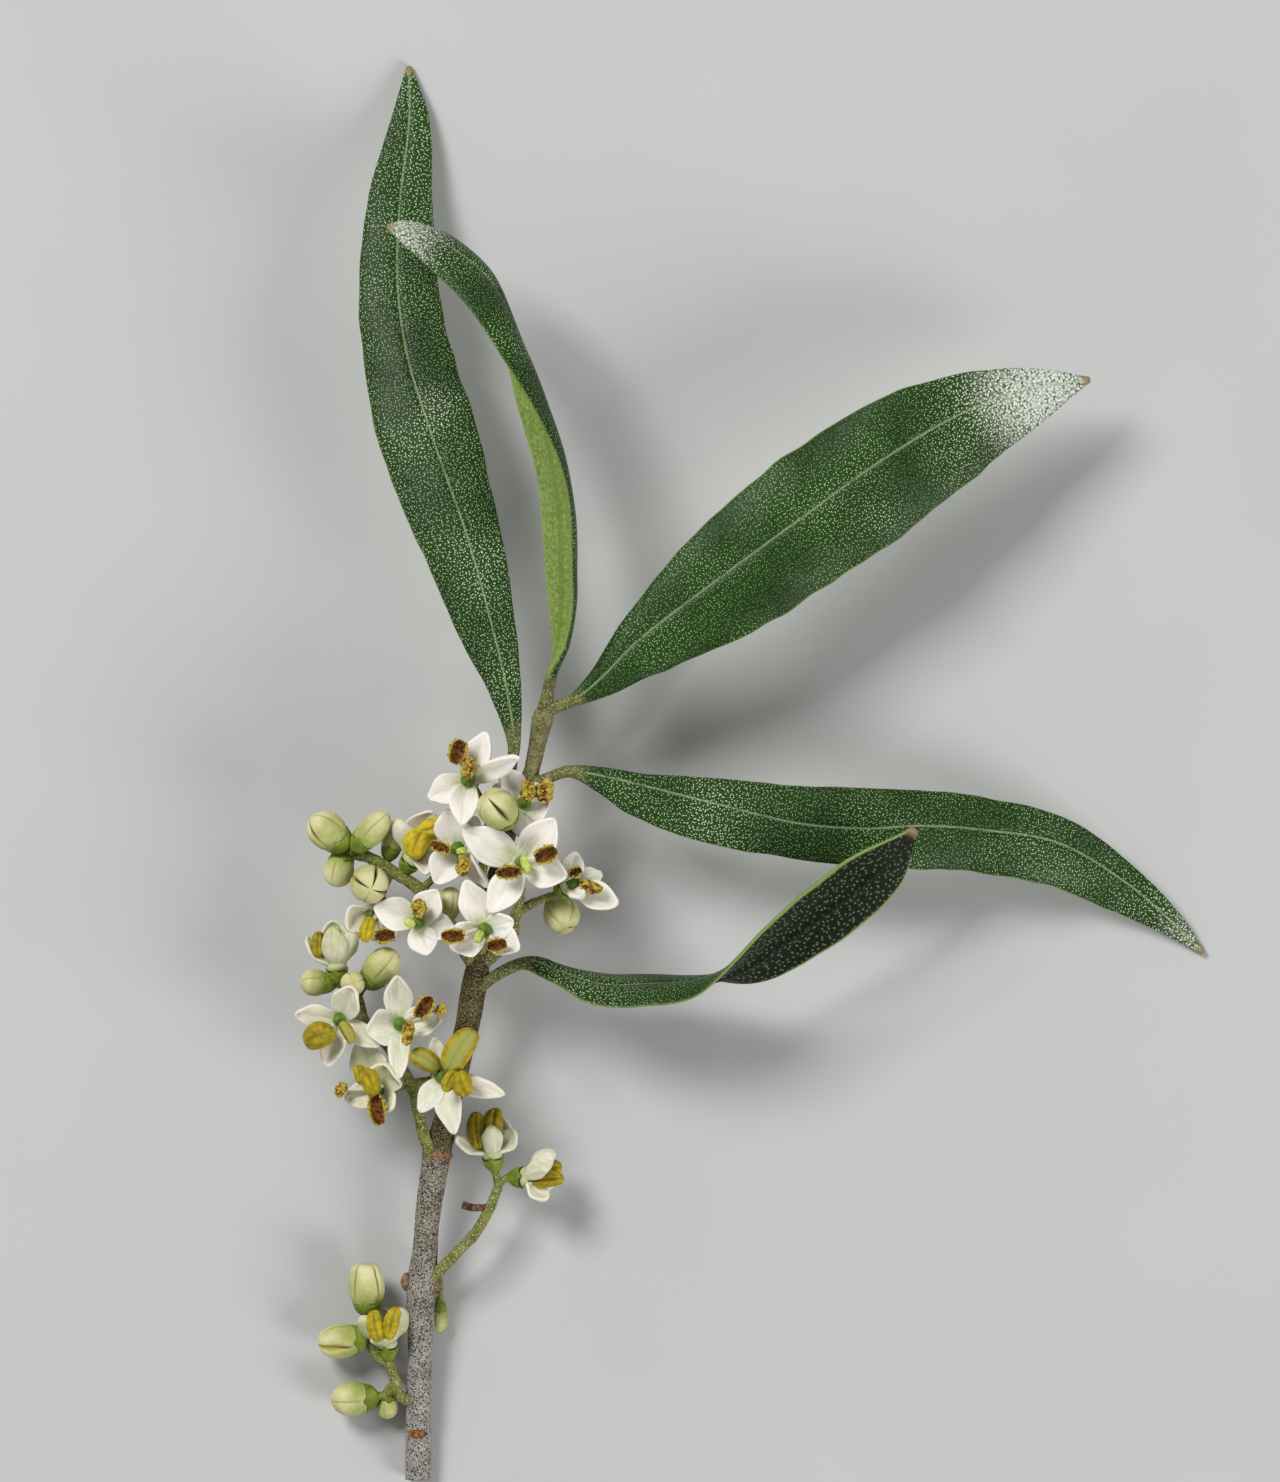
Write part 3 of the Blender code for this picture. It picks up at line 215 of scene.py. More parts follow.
# Flowers: spray, foot, direction, bow of the petals along it and outwards, petals (tip x, y, z, half
# width), anthers (x, y, z, angle in the picture plane, length, width, kind).
FLOWERS = {
    "flower_1": ("spray_front", (4.2, 56.1, 12.0), (-0.15, 0.1, 1.0), 0.3, 0.0,
        [(5.6, 60.0, 12.7, 1.05), (8.2, 58.2, 13.8, 0.9),
         (1.0, 54.7, 12.0, 1.1), (3.6, 52.5, 13.1, 1.1)],
        [(3.3, 58.4, 14.0, 70, 2.0, 1.4, "old"), (4.2, 57.1, 14.2, 80, 1.6, 1.2, "crumbly")]),
    "flower_2": ("spray_front", (8.2, 54.1, 10.0), (0.4, 0.25, 0.85), 0.2, 0.0,
        [(6.7, 57.0, 11.0, 1.1), (10.6, 54.3, 10.3, 1.4),
         (8.5, 51.4, 10.7, 1.5), (6.0, 55.6, 10.7, 0.9)],
        [(8.9, 55.3, 12.0, 80, 1.8, 1.2, "crumbly"), (10.2, 55.3, 11.6, 80, 1.8, 1.5, "crumbly")]),
    "flower_3": ("spray_right", (8.3, 49.6, 11.6), (0.12, -0.1, 1.0), 0.3, 0.0,
        [(3.7, 52.2, 12.0, 1.3), (11.0, 53.2, 12.8, 1.3),
         (12.0, 48.5, 12.0, 1.3), (5.7, 45.6, 12.6, 1.2)],
        [(10.3, 50.2, 13.6, 20, 1.9, 1.4, "old"), (7.4, 48.8, 14.0, 5, 2.0, 1.1, "old")]),
    "flower_4": ("spray_left", (3.6, 50.8, 9.9), (-0.35, -0.1, 0.93), 0.25, 0.0,
        [(2.5, 53.9, 11.0, 1.3), (4.9, 53.2, 10.7, 1.05),
         (1.6, 47.8, 10.3, 1.4), (5.8, 47.7, 10.9, 0.95)],
        [(1.9, 50.8, 11.9, -20, 1.8, 0.9, "old"), (3.7, 49.3, 12.2, 90, 1.6, 1.1, "crumbly")]),
    "flower_5": ("spray_left", (-0.6, 49.5, 8.4), (0.5, 0.72, 0.35), 0.1, 0.7,
        [(1.3, 53.8, 8.6, 1.3), (1.7, 50.1, 9.3, 1.25),
         (-1.3, 52.9, 10.2, 1.1), (1.9, 52.0, 6.9, 0.95)],
        [(1.3, 52.2, 9.8, 20, 3.0, 1.6, "young"), (0.1, 51.1, 10.0, 65, 2.5, 2.1, "young")]),
    "flower_6": ("spray_front", (5.4, 44.3, 11.0), (0.05, -0.1, 1.0), 0.25, 0.0,
        [(3.9, 48.2, 11.9, 1.1), (7.8, 45.0, 12.2, 1.0),
         (2.6, 42.8, 11.8, 1.3), (8.3, 42.6, 12.4, 1.05)],
        [(2.95, 43.7, 13.2, 0, 1.9, 1.2, "old"), (6.45, 43.0, 13.4, 10, 1.6, 1.15, "old")]),
    "flower_7": ("spray_left", (0.2, 44.8, 10.2), (-0.1, 0.05, 1.0), 0.25, 0.0,
        [(1.7, 47.4, 11.0, 1.15), (3.0, 44.2, 10.5, 1.05),
         (0.8, 42.2, 10.6, 1.05), (-3.4, 46.1, 10.6, 1.15)],
        [(0.2, 45.9, 12.2, 90, 1.5, 1.2, "crumbly"), (-0.9, 44.4, 12.0, 30, 1.2, 0.9, "stigma")]),
    "flower_8": ("spray_left", (-3.2, 46.2, 7.6), (-0.35, -0.8, 0.3), 0.1, 0.5,
        [(-5.6, 44.0, 8.2, 1.2), (-2.6, 43.1, 6.0, 1.15),
         (-4.6, 43.6, 5.6, 0.9), (-1.6, 44.2, 8.0, 0.9)],
        [(-3.9, 44.2, 8.6, 75, 2.1, 1.2, "young"), (-2.6, 43.7, 8.5, 5, 1.7, 1.2, "old")]),
    "flower_9": ("spray_right", (11.8, 47.5, 10.1), (0.62, 0.4, 0.55), 0.2, 0.2,
        [(16.1, 46.2, 10.2, 1.1), (12.6, 50.4, 9.4, 0.85),
         (14.6, 48.6, 7.6, 0.85), (13.4, 46.8, 11.9, 0.6)],
        [(12.7, 48.8, 11.6, 20, 1.1, 0.9, "old"), (13.9, 47.6, 11.4, -20, 1.9, 1.0, "crumbly")]),
    "flower_10": ("spray_middle", (-6.4, 40.8, 6.3), (-0.1, 0.97, 0.15), 0.1, 0.5,
        [(-6.8, 45.0, 5.8, 1.25), (-6.8, 44.4, 8.1, 0.88),
         (-9.0, 43.6, 6.8, 0.6), (-5.1, 44.2, 7.0, 0.9)],
        [(-7.9, 43.0, 7.1, 85, 2.1, 1.1, "young"), (-6.4, 43.2, 7.0, 90, 2.1, 1.1, "young")]),
    "flower_11": ("spray_middle", (-6.1, 36.9, 7.0), (-0.12, 0.1, 1.0), 0.25, 0.0,
        [(-5.0, 39.8, 9.9, 1.1), (-9.8, 37.4, 7.8, 0.85),
         (-2.9, 34.8, 7.8, 0.8), (-7.2, 33.2, 7.6, 0.95)],
        [(-7.8, 35.6, 9.2, 20, 2.6, 2.2, "young"), (-5.6, 36.0, 9.0, -60, 2.0, 1.0, "pale")]),
    "flower_12": ("spray_middle", (-1.4, 36.7, 7.6), (0.05, -0.05, 1.0), 0.25, 0.0,
        [(-1.6, 40.6, 8.8, 1.0), (-4.1, 36.1, 8.7, 1.25),
         (-1.5, 32.2, 8.8, 0.8), (2.1, 37.1, 8.9, 1.1)],
        [(0.6, 38.0, 10.2, 60, 2.0, 1.4, "old"), (-0.7, 35.9, 10.2, 80, 1.9, 1.0, "crumbly")]),
    "flower_13": ("spray_middle", (-2.4, 31.4, 6.4), (-0.72, -0.1, 0.6), 0.15, 0.2,
        [(-4.8, 35.1, 6.4, 1.3), (-2.5, 33.7, 9.2, 1.4),
         (-2.0, 29.6, 8.2, 0.85), (-5.8, 30.6, 6.0, 0.9)],
        [(-3.8, 32.0, 8.8, -70, 2.3, 1.6, "young"), (-3.2, 29.8, 8.4, -80, 2.6, 1.4, "old")]),
    "flower_14": ("spray_middle", (2.0, 32.4, 7.6), (0.0, 0.0, 1.0), 0.25, 0.0,
        [(7.1, 31.0, 8.6, 0.74), (3.0, 27.8, 8.4, 0.97),
         (0.2, 29.6, 8.3, 0.85), (1.4, 35.6, 8.4, 0.7)],
        [(3.5, 34.5, 9.8, 58, 4.0, 2.3, "pale"), (3.7, 31.9, 10.4, 105, 2.1, 1.7, "young")]),
    "flower_15": ("spray_low_right", (6.1, 25.7, 4.5), (-0.15, 0.97, 0.15), 0.1, 0.5,
        [(5.9, 29.8, 3.4, 1.3), (5.9, 28.5, 6.3, 0.78),
         (3.0, 27.5, 4.9, 0.62), (7.8, 28.2, 4.6, 0.8)],
        [(4.8, 28.1, 5.0, 95, 3.0, 1.5, "young"), (6.2, 28.6, 4.8, 88, 2.6, 1.6, "young")]),
    "flower_16": ("spray_low_right", (8.2, 24.3, 4.3), (0.97, 0.0, 0.2), 0.1, 0.5,
        [(11.0, 26.4, 5.2, 0.95), (10.6, 22.6, 4.8, 0.85),
         (11.2, 24.0, 2.6, 0.85), (10.5, 25.1, 6.7, 0.55)],
        [(10.5, 24.1, 4.9, 5, 2.5, 1.4, "young"), (10.4, 25.0, 4.1, 5, 2.4, 1.4, "young")]),
    "flower_17": ("spray_low_left", (-2.4, 10.5, 2.9), (-0.1, 0.97, 0.2), 0.1, 0.4,
        [(-4.6, 13.1, 3.7, 1.2), (-2.9, 11.5, 4.4, 0.9),
         (-1.2, 13.8, 3.7, 1.2), (-2.8, 13.8, 1.8, 1.1)],
        [(-3.3, 12.4, 4.5, 100, 2.6, 1.4, "young"), (-2.0, 12.6, 4.5, 75, 2.7, 1.3, "young")]),
}
# Petals turned about their own length, in degrees.
PETAL_TWISTS = {("flower_1", 1): 50, ("flower_4", 3): 40}

# What the photograph adds to the solids. Stigmas: x, y, angle in the picture plane, length, width.
STIGMAS = {
    "flower_3": [(8.7, 49.45, -70, 1.45, 0.7)],
    "flower_4": [(3.6, 50.5, 10, 0.9, 0.6)],
    "flower_6": [(5.0, 43.65, 65, 1.1, 0.75)],
    "flower_7": [(-0.55, 44.8, 140, 1.0, 0.75)],
}
STIGMA_HEIGHT = 1.9

# More anthers that show between the petals: x, y, z, angle, length, width, kind.
EXTRA_ANTHERS = {
    "flower_12": [(1.9, 37.8, 9.7, 40, 1.0, 0.7, "crumbly")],
    "flower_13": [(-6.1, 31.4, 7.2, 60, 1.2, 0.9, "crumbly"), (-4.6, 32.6, 8.6, -75, 1.6, 1.1, "young")],
    "flower_14": [(0.6, 33.7, 8.9, -30, 2.7, 1.7, "pale"), (2.7, 32.1, 10.2, 60, 1.9, 1.2, "young")],
}

# How green a flower's petals are, from 0 to 1: partly the green of young petals and partly painted shade,
# greener and darker on flowers that lie in shade.
YOUNG_AND_SHADE = {
    "flower_3": 0.05, "flower_5": 0.4, "flower_7": 0.05, "flower_8": 0.5, "flower_9": 0.2, "flower_10": 0.7,
    "flower_11": 0.45, "flower_12": 0.4, "flower_13": 0.65, "flower_14": 0.35, "flower_15": 0.6,
    "flower_16": 0.5, "flower_17": 0.8,
}

# How bright a yellow the young anthers are.
BRIGHT = {"flower_5": 1.0, "flower_8": 0.8, "flower_10": 0.1, "flower_11": 0.1, "flower_15": 0.0,
          "flower_17": 0.5}
BRIGHT_USUAL = 0.3

# Buds: angle of the first seam, how wide the seams numbered there gape in degrees, how far the tip opens,
# and how much gold shows in the slits. The seam at 270 degrees faces up from a bud that lies on its side.
BUD_LOOKS = {
    "bud_1": (0.0, {3: 8.0}, 0.0, 0.0),
    "bud_2": (40.0, {2: 8.0}, 0.0, 0.0),
    "bud_3": (-8.0, {}, 0.0, 0.0),
    "bud_5": (41.0, {2: 8.0, 3: 6.0, 1: 6.0}, 0.1, 0.0),
    "bud_6": (37.0, {1: 8.0}, 0.1, 0.0),
    "bud_10": (10.0, {}, 0.0, 0.0),
    "bud_12": (45.0, {2: 3.0, 3: 3.0}, 1.0, 0.5),
    "bud_13": (62.0, {2: 20.0}, 0.3, 1.0),
    "bud_14": (-10.0, {}, 0.0, 0.0),
}
BUD_USUAL = (20.0, {}, 0.0, 0.0)

# How hoary each leaf is at its tip and all over. The whiteness at the tip is partly the leaf's scales and
# partly a painted glint.
LEAF_HOAR_AND_GLINT = {
    "leaf_1": (0.25, 0.15), "leaf_2": (0.75, 0.0), "leaf_3": (0.7, 0.1), "leaf_4": (0.5, 0.1),
    "leaf_5": (0.15, 0.05),
}

# Whitish patches on leaves, partly hoary scales and partly painted sheen where light glances off the blade:
# x, y, size, amount.
SHEEN_AND_HOAR_SPOTS = {
    "leaf_1": [(1.8, 86.0, 3.2, 0.32), (6.5, 72.0, 6.0, 0.22), (-2.0, 90.0, 6.0, 0.15)],
    "leaf_4": [(24.0, 53.0, 7.0, 0.2), (62.0, 42.0, 8.0, 0.3)],
    "leaf_5": [(14.0, 40.0, 6.0, 0.15)],
    "leaf_2": [(50.0, 87.6, 6.0, 0.95), (44.0, 84.0, 4.0, 0.28), (37.0, 77.5, 4.0, 0.15)],
}

# Where stalks and leaves spring from inside the stem.
ROOTS = {
    "leaf_1": (8.3, 55.2, 8.6), "leaf_2": (10.1, 61.5, 9.0), "leaf_3": (10.2, 61.8, 9.1),
    "leaf_4": (8.9, 55.7, 8.6), "leaf_5": (4.8, 39.5, 6.5),
    "spray_front": (5.2, 42.4, 7.0), "spray_left": (4.6, 41.5, 6.5), "spray_right": (5.3, 41.5, 6.5),
    "spray_middle": (1.1, 26.1, 4.5), "spray_low_right": (1.0, 16.2, 3.1),
    "spray_low_left": (-0.1, 6.0, 1.2), "spray_low_back": (0.9, 17.5, 2.2),
}
ROOT_FLARE = 1.25
STALK_GIRTH = {"spray_left": 1.25, "spray_low_left": 1.1}

# How much of an old scar each bump of the stem is.
BUMP_SCARS = (1.0, 0.6, 0.5, 0.9)

# Stations lie along a piece and columns across it or round it. Columns across run from -1 to 1.
LEAF_STATIONS = 150
LEAF_HALF = (0.025, 0.06, 0.11, 0.18, 0.28, 0.4, 0.52, 0.64, 0.76, 0.86, 0.93, 0.97, 0.99, 1.0)
LEAF_COLUMNS = tuple(-u for u in reversed(LEAF_HALF)) + (0.0,) + LEAF_HALF
PETAL_STATIONS = 26
PETAL_HALF = (0.1, 0.26, 0.5, 0.72, 0.88, 0.97, 1.0)
PETAL_COLUMNS = tuple(-u for u in reversed(PETAL_HALF)) + (0.0,) + PETAL_HALF
STEM_STATIONS = 330
STEM_COLUMNS = 48
STALK_STATIONS = 16
STALK_COLUMNS = 18
BUD_STATIONS = 34
BUD_COLUMNS = 96
CUP_COLUMNS = 40
THROAT_COLUMNS = 24
BALL_STATIONS = 16
BALL_COLUMNS = 20
ANTHER_STATIONS = 22
ANTHER_COLUMNS = 40
HUSK_STATIONS = 18
HUSK_COLUMNS = 12
CUT_RINGS = 4

# Leaf, in millimetres: length and height of its waves, length and share of the wavering of its margins,
# size and depth of its dents, depth and width of the groove over its midrib and of the ridge under it.
LEAF_WAVE = (7.0, 0.55)
LEAF_WAVER = (2.2, 0.035)
LEAF_DENT = (4.0, 0.12)
LEAF_GROOVE = (0.16, 0.22)
LEAF_RIDGE = (0.3, 0.34)

# Petal: how much fuller than the solid; in millimetres, its thickness, the height of the hooked tip and of
# the keel, the size and height of its ripples; in degrees, the bend of each half at the foot, what is added
# towards the tip, and how much it sways from petal to petal.
PETAL_FULLNESS = 1.17
PETAL_THICKNESS = 0.46
PETAL_HOOK = 0.3
PETAL_KEEL = 0.07
PETAL_RIPPLE = (1.3, 0.1)
PETAL_CURL = (38, 34, 12)

# A flower whose direction rises less than this looks sideways. Its petals turn this share of the way to
# level, by this many degrees at most.
SIDEWAYS = 0.7
PETAL_TURN = 0.7
PETAL_TURN_MOST = 75.0

# Outlines of turned pieces. Throat: radius, height. Bud: share of the length, share of the radius.
# Cup below its rim: share of the radius, height.
THROAT = ((0.62, 0.08), (0.8, 0.25), (0.85, 0.45), (0.78, 0.72), (0.52, 0.8), (0.4, 0.55))
BUD = (
    (0.0, 0.76), (0.16, 0.94), (0.34, 1.01), (0.64, 0.94), (0.8, 0.76), (0.91, 0.53), (0.98, 0.26),
    (1.0, 0.05),
)
CUP = ((0.52, -0.82), (0.78, -0.58), (0.93, -0.3), (1.0, -0.05))
CUP_FOOT = (0.3, -1.0)

# Share of a bud's radius that its cup has, and the radii of a flower's cup and of what it holds.
CUP_SHARE = 0.8
FLOWER_CUP = (0.85, 1.0)

# Radii of a filament and of a side stalk at foot, middle and top, and half the height and width of an ovary.
FILAMENT = (0.24, 0.2, 0.18)
SIDE_STALK = (0.3, 0.29, 0.33)
OVARY = (0.8, 0.56)

# Grains of pollen on each rim of a husk and on a burst anther.
HUSK_GRAINS = 8
CRUST_GRAINS = 26

# Along the stem, in millimetres from the cut: the brown ring, the swelling where low sprays spring, and
# where grey bark, old bark and new bark give way to the next kind.
RING = 26.2
SWELLING = 15.4
GREY_ENDS = (24.0, 9.0)
OLD_ENDS = (25.8, 27.0)
NEW_ENDS = (50.0, 56.0)

# Undersides of the leaves, dark and light, and the near-black painted shade that stands for the underside of
# the leaf in shade, which faces away from the lamps.
SAGE = ((0.15, 0.23, 0.036), (0.26, 0.35, 0.09))
PAINTED_SHADE_UNDERSIDE = ((0.0035, 0.008, 0.0015), (0.01, 0.018, 0.004))

# Lamps: place, size, power. Daylight: colour, strength.
LAMPS = {"key": ((-0.5, 0.5, 0.75), 0.35, 8.5), "fill": ((0.65, -0.45, 0.45), 0.4, 5.0)}
DAYLIGHT = ((0.95, 0.97, 1.0, 1.0), 0.3)


def route(rows, count):
    """Rows of a smooth path through the listed rows, evenly spaced along it."""
    knots = [0.0]
    for a, b in zip(rows, rows[1:]):
        knots.append(knots[-1] + math.dist(a[:3], b[:3]))
    last = len(rows) - 1

    def slope(i, k):
        lo = max(i - 1, 0)
        hi = min(i + 1, last)
        return (rows[hi][k] - rows[lo][k]) / (knots[hi] - knots[lo])

    out = []
    for j in range(count):
        s = knots[-1] * j / (count - 1)
        i = 0
        while i < last - 1 and s > knots[i + 1]:
            i += 1
        h = knots[i + 1] - knots[i]
        t = (s - knots[i]) / h
        w0 = 2 * t ** 3 - 3 * t ** 2 + 1
        w1 = (t ** 3 - 2 * t ** 2 + t) * h
        w2 = 3 * t ** 2 - 2 * t ** 3
        w3 = (t ** 3 - t ** 2) * h
        out.append([w0 * rows[i][k] + w1 * slope(i, k) + w2 * rows[i + 1][k] + w3 * slope(i + 1, k)
                    for k in range(len(rows[0]))])
    return np.array(out)


def unit(v):
    """Vectors of length one."""
    return v / np.maximum(np.linalg.norm(v, axis=-1, keepdims=True), 1e-9)


def directions(points):
    """The way along a path at each of its points."""
    return unit(np.gradient(points, axis=0))


def smooth(x, low, high):
    """0 below low, 1 above high, and a soft step between them."""
    t = np.clip((x - low) / (high - low), 0.0, 1.0)
    return t * t * (3 - 2 * t)


def bump_at(x, centre, width):
    """1 at the centre, falling softly to 0 on both sides."""
    return np.exp(-((x - centre) / width) ** 2)


def rough(points, size, seed):
    """Smooth noise from -1 to 1 at each point, with lumps of that size in millimetres."""
    flat = points.reshape(-1, 3)
    values = [noise.noise(Vector(p / size) + Vector((seed, seed * 0.7, -seed))) for p in flat]
    return np.array(values).reshape(points.shape[:-1])


def ripple(along, length, seed, row):
    """Smooth noise from -1 to 1 along a line, with waves of about that length."""
    return np.array([noise.noise(Vector((a / length, seed, row))) for a in along])


def swell(grid, centre, shares):
    """Moves of each point away from the centre, by a share of its distance."""
    return (grid - centre) * shares[..., None]


def circle(columns):
    """Angles of the columns of a closed ring."""
    return 2 * math.pi * np.arange(columns) / columns


def spokes(angles, side, other):
    """The direction of each column, when the ring lies in the plane of side and other."""
    return np.outer(np.cos(angles), side) + np.outer(np.sin(angles), other)


def degrees_off(angles, centre):
    """How far angles in degrees lie from the centre, the shorter way round."""
    return np.abs((angles - centre + 180) % 360 - 180)


def level_ways(angle):
    """Two level directions, at that angle in the picture plane and across it."""
    turn = math.radians(angle)
    c = math.cos(turn)
    s = math.sin(turn)
    return np.array((c, s, 0.0)), np.array((-s, c, 0.0))


def turned(side, up, degrees):
    """Both directions turned about the way along, by the degrees of each station."""
    turn = np.radians(degrees)[:, None]
    c = np.cos(turn)
    s = np.sin(turn)
    return side * c + up * s, up * c - side * s


class Body:
    """Collects closed skins, drawn in millimetres, with values at their points for the materials."""

    def __init__(self):
        self.points = []
        self.faces = []
        self.kinds = []
        self.values = []
        self.count = 0

    def skin(self, grid, kind=0, cut=0, **values):
        """A skin over stations of closed rings, shaped (stations, columns, 3), with a cap at each end.
        Kind is the number of its material. The first cap and as many bands as cut says are a cut face and
        take the second material."""
        stations, columns = grid.shape[:2]
        points = np.concatenate([grid.reshape(-1, 3), grid[0].mean(0)[None], grid[-1].mean(0)[None]])
        i, j = np.meshgrid(np.arange(stations - 1), np.arange(columns), indexing="ij")
        k = (j + 1) % columns
        here = i * columns
        after = here + columns
        quads = np.stack([here + j, here + k, after + k, after + j], -1)
        faces = [tuple(q) for q in quads.reshape(-1, 4).tolist()]
        kinds = [1 if n < cut * columns else kind for n in range(len(faces))]
        first = stations * columns
        far = first - columns
        for a in range(columns):
            b = (a + 1) % columns
            faces.append((b, a, first))
            faces.append((far + a, far + b, first + 1))
            kinds += [1 if cut else kind, kind]
        centre = points.mean(0)
        volume = 0.0
        for face in faces:
            a, b, c = (points[n] - centre for n in face[:3])
            volume += np.dot(a, np.cross(b, c))
            if len(face) == 4:
                volume += np.dot(a, np.cross(c, points[face[3]] - centre))
        if volume < 0:
            faces = [face[::-1] for face in faces]
        self.faces += [tuple(n + self.count for n in face) for face in faces]
        self.kinds += kinds
        self.points.append(points)
        spread = {}
        for name, value in values.items():
            value = np.broadcast_to(np.asarray(value, float), (stations, columns))
            ends = np.array((value[0].mean(), value[-1].mean()))
            spread[name] = np.concatenate([value.reshape(-1), ends])
        self.values.append((self.count, len(points), spread))
        self.count += len(points)

    def mesh(self, name):
        mesh = bpy.data.meshes.new(name)
        points = (np.concatenate(self.points) + ORIGIN) * MM
        points[:, 2] = np.maximum(points[:, 2], 0.0)
        mesh.from_pydata(points.tolist(), [], self.faces)
        names = sorted({key for _, _, spread in self.values for key in spread})
        for key in names:
            whole = np.zeros(self.count)
            for start, count, spread in self.values:
                if key in spread:
                    whole[start:start + count] = spread[key]
            mesh.attributes.new(key, "FLOAT", "POINT").data.foreach_set("value", whole.astype(np.float32))
        mesh.polygons.foreach_set("material_index", self.kinds)
        mesh.shade_smooth()
        return mesh


def place(name, body, materials, node):
    """Makes the piece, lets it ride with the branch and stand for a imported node."""
    mesh = body.mesh(name)
    for material in materials:
        mesh.materials.append(material)
    ob = bpy.data.objects.new(name, mesh)
    bpy.context.scene.collection.objects.link(ob)
    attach(ob, "root")
    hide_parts(node)


class Paint:
    """One procedural material and the nodes that it is made of. Sizes of grain are in millimetres."""

    def __init__(self, name, roughness=0.5, shine=0.5, inner=0.0, depth=1.0):
        """Inner is the share of light that passes under the surface, as far as depth in millimetres."""
        self.material = bpy.data.materials.new(name)
        self.material.use_nodes = True
        self.nodes = self.material.node_tree.nodes
        self.links = self.material.node_tree.links
        self.shader = self.nodes["Principled BSDF"]
        self.shader.inputs["Roughness"].default_value = roughness
        self.shader.inputs["Specular IOR Level"].default_value = shine
        self.shader.inputs["Subsurface Weight"].default_value = inner
        self.shader.inputs["Subsurface Scale"].default_value = depth * MM

    def add(self, kind, inputs, output=0, **settings):
        """A node, with each input set to a value or linked to another node's output."""
        node = self.nodes.new(kind)
        for key, value in settings.items():
            setattr(node, key, value)
        for key, value in inputs.items():
            if isinstance(value, bpy.types.NodeSocket):
                self.links.new(value, node.inputs[key])
            else:
                node.inputs[key].default_value = value
        return node.outputs[output]

    def value(self, name):
        return self.add("ShaderNodeAttribute", {}, "Fac", attribute_name=name)

    def texture(self, kind, output, size, vector, inputs, **settings):
        """A texture laid over the piece, or over a vector of its own that counts in millimetres."""
        scale = 1.0 / size if vector else 1.0 / (size * MM)
        vector = vector or self.add("ShaderNodeTexCoord", {}, "Object")
        return self.add(kind, {"Vector": vector, "Scale": scale, **inputs}, output, **settings)

    def grain(self, size, detail=3.0, vector=None):
        """Noise from about 0.3 to 0.7, with lumps of that size."""
        return self.texture("ShaderNodeTexNoise", "Fac", size, vector, {"Detail": detail})

    def specks(self, spacing, radius, soft=0.08, vector=None, randomness=1.0):
        """1 inside small round specks, 0 between them. The radius is a share of the spacing."""
        plane = "2D" if vector else "3D"
        distance = self.texture("ShaderNodeTexVoronoi", "Distance", spacing, vector,
                                {"Randomness": randomness}, voronoi_dimensions=plane)
        return self.fit(self.math("SUBTRACT", distance, radius), soft, -soft)

    def math(self, operation, a, b=0.0):
        return self.add("ShaderNodeMath", {0: a, 1: b}, operation=operation)

    def plus(self, a, b):
        return self.math("ADD", a, b)

    def times(self, a, b):
        return self.math("MULTIPLY", a, b)

    def fit(self, value, low, high, start=0.0, end=1.0):
        """Start at low and below, end at high and beyond, and a straight ramp between them."""
        inputs = {"Value": value, "From Min": low, "From Max": high, "To Min": start, "To Max": end}
        return self.add("ShaderNodeMapRange", inputs)

    def span(self, value, start, end):
        return self.fit(value, 0.0, 1.0, start, end)

    def mix(self, factor, a, b):
        """Colour a where the factor is 0, colour b where it is 1."""
        a = (*a, 1.0) if isinstance(a, tuple) else a
        b = (*b, 1.0) if isinstance(b, tuple) else b
        return self.add("ShaderNodeMix", {0: factor, 6: a, 7: b}, 2, data_type="RGBA")

    def shade(self, value, dark, light, low=0.35, high=0.65):
        """Two colours, laid out by a grain."""
        return self.mix(self.fit(value, low, high), dark, light)

    def join(self, x, y):
        return self.add("ShaderNodeCombineXYZ", {"X": x, "Y": y})

    def bump(self, height, depth, strength=1.0):
        inputs = {"Height": height, "Distance": depth * MM, "Strength": strength}
        return self.add("ShaderNodeBump", inputs)

    def finish(self, colour, normal=None, roughness=None):
        """Links what is given to the shader and hands over the material."""
        for key, value in (("Base Color", colour), ("Normal", normal), ("Roughness", roughness)):
            if value:
                self.links.new(value, self.shader.inputs[key])
        return self.material


